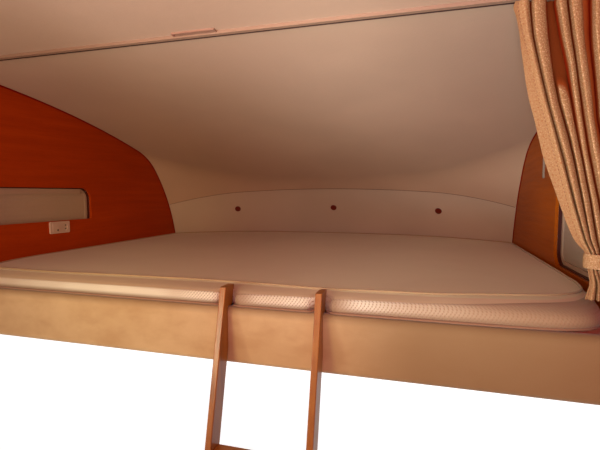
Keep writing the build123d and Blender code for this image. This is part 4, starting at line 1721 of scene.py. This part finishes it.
    def fascia(self) -> None:
        """Cover the board with suede that has soft creases."""
        low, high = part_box("fascia")
        cover = Bench.block("fascia_cover", low, high)
        Bench.bevel(cover, self.fascia_bevel, segments=7)
        Bench.hold(cover)
        for axis, count in enumerate(self.fascia_faces):
            for cut in range(1, count):
                place, normal = [0.0, 0.0, 0.0], [0.0, 0.0, 0.0]
                place[axis] = low[axis] + (high[axis] - low[axis]) * cut / count
                normal[axis] = 1.0
                bpy.ops.object.mode_set(mode="EDIT")
                bpy.ops.mesh.select_all(action="SELECT")
                bpy.ops.mesh.bisect(plane_co=place, plane_no=normal)
                bpy.ops.object.mode_set(mode="OBJECT")
        for vertex in cover.data.vertices:
            if vertex.co.y < low.y + self.crease_reach:
                x, z = vertex.co.x * self.crease_scale[0], vertex.co.z * self.crease_scale[1]
                crease = math.sqrt(abs(noise.noise(Vector((x, self.crease_slice, z)))))
                edge = min(vertex.co.z - low.z, high.z - vertex.co.z) / self.crease_fade
                vertex.co.y += self.crease_depth * (1 - crease) * min(edge, 1.0)
        Bench.smooth(cover, angle=60)
        finish_piece(cover, SUEDE, "root")
        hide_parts("fascia")


@dataclass(frozen=True)
class FoldRow:
    """The curtain's folds at one height: crests and valleys from left to right, in millimetres along X."""

    z: float
    xs: tuple[int, ...]


FOLD_ROWS = (
    FoldRow(0.942, (772, 777, 788, 805, 809, 840, 847, 855, 860, 880, 882, 905, 926, 930)),
    FoldRow(0.928, (763, 774, 789, 806, 809, 842, 849, 856, 860, 883, 882, 907, 927, 930)),
    FoldRow(0.910, (771, 778, 791, 809, 811, 844, 852, 861, 864, 886, 885, 910, 929, 931)),
    FoldRow(0.870, (779, 786, 797, 816, 816, 851, 861, 871, 873, 894, 894, 915, 933, 935)),
    FoldRow(0.830, (784, 797, 807, 824, 824, 856, 868, 880, 881, 901, 901, 920, 936, 939)),
    FoldRow(0.790, (790, 807, 816, 833, 832, 861, 870, 889, 890, 907, 907, 926, 941, 943)),
    FoldRow(0.750, (796, 815, 825, 842, 841, 867, 870, 896, 895, 913, 913, 932, 946, 947)),
    FoldRow(0.710, (804, 825, 835, 852, 850, 875, 875, 902, 903, 920, 919, 937, 950, 951)),
    FoldRow(0.670, (815, 837, 846, 862, 860, 886, 884, 908, 911, 926, 925, 941, 953, 954)),
    FoldRow(0.630, (824, 847, 856, 873, 871, 897, 894, 915, 917, 933, 931, 948, 961, 961)),
    FoldRow(0.580, (836, 860, 869, 886, 884, 908, 904, 925, 924, 941, 940, 958, 971, 969)),
    FoldRow(0.530, (853, 874, 882, 896, 894, 917, 913, 933, 931, 949, 948, 966, 980, 976)),
    FoldRow(0.480, (870, 887, 894, 908, 904, 926, 922, 942, 939, 958, 957, 973, 987, 982)),
    FoldRow(0.430, (887, 901, 907, 920, 915, 934, 929, 948, 945, 964, 961, 978, 991, 986)),
    FoldRow(0.395, (902, 912, 917, 928, 924, 939, 935, 952, 950, 968, 965, 981, 993, 990)),
    FoldRow(0.366, (928, 930, 932, 940, 937, 949, 945, 958, 956, 972, 969, 984, 996, 994)),
    FoldRow(0.334, (930, 934, 936, 943, 940, 952, 948, 961, 959, 975, 972, 987, 999, 998)),
    FoldRow(0.300, (936, 940, 942, 953, 949, 962, 957, 973, 970, 985, 982, 996, 1006, 1004)),
    FoldRow(0.265, (926, 932, 936, 952, 947, 964, 959, 977, 973, 990, 986, 1000, 1010, 1008)),
)


@dataclass
class CurtainSet:
    """Track, curtain and its band."""

    top: float = 0.940
    right: float = 1.040
    steps: int = 12
    rows: int = 160
    thickness: float = 0.0014
    roundness: float = 0.75
    straight_turns: int = 2
    blur: float = 0.007
    # Middle of the folds and half their depth, by height
    middle: Table = (
        (0.265, -0.094), (0.334, -0.092), (0.366, -0.092), (0.474, -0.083), (0.70, -0.070), (0.942, -0.060),
    )
    depth: Table = (
        (0.265, 0.022), (0.334, 0.017), (0.366, 0.017), (0.42, 0.021), (0.60, 0.023), (0.942, 0.020),
    )
    # How far back each crest and valley stands, from -1 at the front to 1 at the back
    front: tuple[float, ...] = (
        -0.42, -0.30, -0.75, 0.85, -1.0, 0.92, 0.0, 0.88, 0.0, 0.86, -1.0, 0.05, 0.86, -0.95,
    )
    late_turn: int = 6
    late_fold: Table = ((0.62, -0.72), (0.70, -0.62), (0.735, -0.3), (0.765, 0.5), (0.80, 0.72))
    weak_turn: int = 8
    weak_fold: Table = (
        (0.40, -0.75), (0.52, -0.5), (0.60, -0.28), (0.68, -0.28), (0.76, -0.7), (0.90, -0.8),
    )
    # How much further left the folds stand than their rows say, by height
    left_shift: Table = ((0.38, 0.0), (0.46, 0.003), (0.60, 0.006), (0.86, 0.006), (0.942, 0.001))
    # Folds beyond the last one in view: share of the way to the right edge, and how far back
    beyond: Table = ((0.22, 0.8), (0.38, -1.0), (0.62, 0.8), (0.78, -0.9), (1.0, 0.2))
    # Where the late fold opens into one wide recess, whose painted shade is milder, by turns beside it and
    # by height
    wide_turns: Table = ((0.75, 1.0), (1.1, 0.0))
    wide_heights: Table = ((0.66, 0.0), (0.72, 1.0))
    crumple: float = 0.0016
    crumple_scale: tuple[float, float] = (26.0, 7.0)
    crumple_slice: float = 1.7
    crumple_aside: float = 0.5
    fine_crumple: float = 0.0005
    fine_scale: tuple[float, float] = (70.0, 26.0)
    fine_slice: float = 4.2
    stiff_columns: int = 8
    stitch_radius: float = 0.0007
    stitch_lift: float = 0.0010
    screw_radius: float = 0.0034
    screw_rise: float = 0.0022
    screw_inset: float = 0.005
    screw_bevel: float = 0.0007
    band_columns: int = 96
    band_rows: int = 8
    band_cloth: float = 0.0022
    band_merge: float = 0.0002
    band_fit: float = 0.9
    band_tilt: float = 0.00105
    band_bulge: float = 0.0012
    # The band's depth map: shallow, so no shade is painted on it
    band_depth: tuple[float, float] = (0.2, 0.0)

    def build(self) -> None:
        """Dress the track and hang the curtain."""
        dress(TRACK, "curtain_track")
        dress(JOINT, "track_joint")
        low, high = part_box("track_joint")
        centre = (low.x + self.screw_inset, (low.y + high.y) / 2, low.z)
        screw = Bench.rod("joint_screw", centre, self.screw_radius, self.screw_rise, (0, 0, 1))
        Bench.bevel(screw, self.screw_bevel, segments=2)
        finish_piece(screw, CAP, "root")
        self.curtain()
        self.band()

    def turns(self, z: float) -> list[Vector]:
        """Find the crests and valleys of the cloth at any height, from left to right.

        Args:
            z: The height.

        Returns:
            Their places.
        """
        shift = blend(z, *self.left_shift)
        xs = []
        for i in range(len(self.front)):
            x = blend(z, *((row.z, row.xs[i] / 1000) for row in reversed(FOLD_ROWS)))
            moved = min(max(i - 1, 0) / 2, 1.0)  # the first two turns stay, the third goes half the way
            xs.append(x - shift * moved)
        front = list(self.front)
        front[self.late_turn] = blend(z, *self.late_fold)
        front[self.weak_turn] = blend(z, *self.weak_fold)
        last = xs[-1]
        for share, place in self.beyond:
            xs.append(last + (self.right - last) * share)
            front.append(place)
        middle, depth = blend(z, *self.middle), blend(z, *self.depth)
        return [Vector((x, middle + depth * f, z)) for x, f in zip(xs, front)]

    def path(self, z: float) -> list[Vector]:
        """Draw the cloth's line at one height: round crests between narrow valleys.

        Args:
            z: The height.

        Returns:
            The line's points.
        """
        near = [self.turns(z + shift) for shift in (-self.blur, 0.0, self.blur)]
        turns = [(a + b + c) / 3 for a, b, c in zip(*near)]
        line = [turns[0]]
        for number, (first, second) in enumerate(zip(turns, turns[1:])):
            for step in range(1, self.steps + 1):
                share = step / self.steps
                angle = share * math.pi / 2
                if number < self.straight_turns:
                    x, y = share, share
                elif second.y > first.y:
                    x, y = math.sin(angle), 1 - math.cos(angle)
                else:
                    x, y = 1 - math.cos(angle), math.sin(angle)
                x, y = (self.roundness * value + (1 - self.roundness) * share for value in (x, y))
                spot_x = first.x + (second.x - first.x) * x
                spot_y = first.y + (second.y - first.y) * y
                line.append(Vector((spot_x, spot_y, z)))
        for _ in range(2):
            inner = [(a + 2 * b + c) / 4 for a, b, c in zip(line, line[1:], line[2:])]
            line = [line[0], *inner, line[-1]]
        return line

    def curtain(self) -> None:
        """Gather one cloth from track to tail."""
        length = self.top - FOLD_ROWS[-1].z
        lines = [self.path(self.top - length * row / self.rows) for row in range(self.rows + 1)]
        columns = len(lines[0]) - 1
        upper = lines[: self.rows * 2 // 3]
        spans = [sum((line[i + 1] - line[i]).length for line in upper) / len(upper) for i in range(columns)]
        marks = [sum(spans[:i]) for i in range(columns + 1)]
        points, flat, depths = [], [], []
        for row, line in enumerate(lines):
            middle, half = blend(line[0].z, *self.middle), blend(line[0].z, *self.depth)
            high = blend(line[0].z, *self.wide_heights)
            for column, place in enumerate(line):
                beside = abs(column / self.steps - self.late_turn)
                # Each point keeps how deep it lies and its share of the wide recess; the cloth's material
                # paints shade from these
                depths.append((((place.y - middle) / half + 1) / 2, blend(beside, *self.wide_turns) * high))
                x, y = self.crumple_scale
                crumple = noise.noise(Vector((marks[column] * x, place.z * y, self.crumple_slice)))
                x, y = self.fine_scale
                fine = noise.noise(Vector((marks[column] * x, place.z * y, self.fine_slice)))
                shift = self.crumple * crumple + self.fine_crumple * fine
                share = min(column / self.stiff_columns, 1.0)
                points.append(place + Vector((shift * self.crumple_aside, shift, 0)) * share)
                flat.append((marks[column], row / self.rows * length))
        faces = Bench.grid(columns, self.rows)
        cloth = Bench.mesh("curtain_cloth", points, faces, cloth=flat, depth=depths)
        Bench.thicken(cloth, self.thickness)
        Bench.smooth(cloth, angle=70)
        finish_piece(cloth, CURTAIN, "root")
        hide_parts("curtain")
        self.stitches(lines)

    def stitches(self, lines: Sequence[Sequence[Vector]]) -> None:
        """Sew a row of stitches down the hem.

        Args:
            lines: The cloth's line at each height.
        """
        seam = [line[self.steps] - Vector((0, self.stitch_lift, 0)) for line in lines]
        parts = []
        for first, second in zip(seam[1::2], seam[2::2]):
            parts.append(Bench.tube("stitch", [first, second], self.stitch_radius, sides=1))
        Bench.clear()
        for part in parts:
            part.select_set(True)
        bpy.context.view_layer.objects.active = parts[0]
        bpy.ops.object.join()
        row = bpy.context.object
        row.name = "curtain_stitches"
        finish_piece(row, THREAD, "root")

    def band(self) -> None:
        """Wrap the tie round the waist."""
        low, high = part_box("curtain_tieback")
        centre = (low + high) / 2
        half = (high - low) / 2
        radius = half.y * self.band_fit
        girth = 4 * (half.x - radius) + 2 * math.pi * radius + 4 * (half.y - radius)

        def at(across: float, down: float) -> Vector:
            """Point of the band's loop.

            Args:
                across: Share of the way round.
                down: Share from the top to the foot.

            Returns:
                The point.
            """
            angle = 2 * math.pi * across
            outer = Vector((math.cos(angle), math.sin(angle)))
            core = Vector((math.copysign(half.x - radius, outer.x), 0.0))
            spot = core + outer * (radius - self.band_cloth + self.band_bulge * math.sin(math.pi * down))
            z = high.z - down * 2 * half.z - self.band_tilt * math.cos(angle)
            return Vector((centre.x + spot.x, centre.y + spot.y, z))

        band = Bench.sheet("curtain_band", self.band_columns, self.band_rows, at, (girth, 2 * half.z))
        for cell in band.data.uv_layers.new(name="depth").data:
            cell.uv = self.band_depth
        Bench.modify(band, "WELD", merge_threshold=self.band_merge)
        Bench.thicken(band, self.band_cloth)
        Bench.smooth(band, angle=50)
        finish_piece(band, CURTAIN, "root")
        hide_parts("curtain_tieback")


@dataclass
class Ladder:
    """Wooden ladder with rubber shoes and hook plates."""

    def build(self) -> None:
        """Dress the ladder."""
        dress(LADDER_UPRIGHT, "ladder_rail_left", "ladder_rail_right")
        dress(LADDER_ACROSS, "ladder_treads")
        dress(RUBBER, "ladder_shoes")
        dress(STEEL, "ladder_hooks")


def main() -> None:
    """Build and dress every sub-assembly in order."""
    logging.basicConfig(level=logging.INFO, format="%(name)s: %(message)s")
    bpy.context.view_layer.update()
    Studio().build()
    for part in (OuterShell(), Linings(), SidePanels(), SideWindows(), Bed(), CurtainSet(), Ladder()):
        LOG.info("building %s", type(part).__name__)
        part.build()


if __name__ == "__main__":
    main()
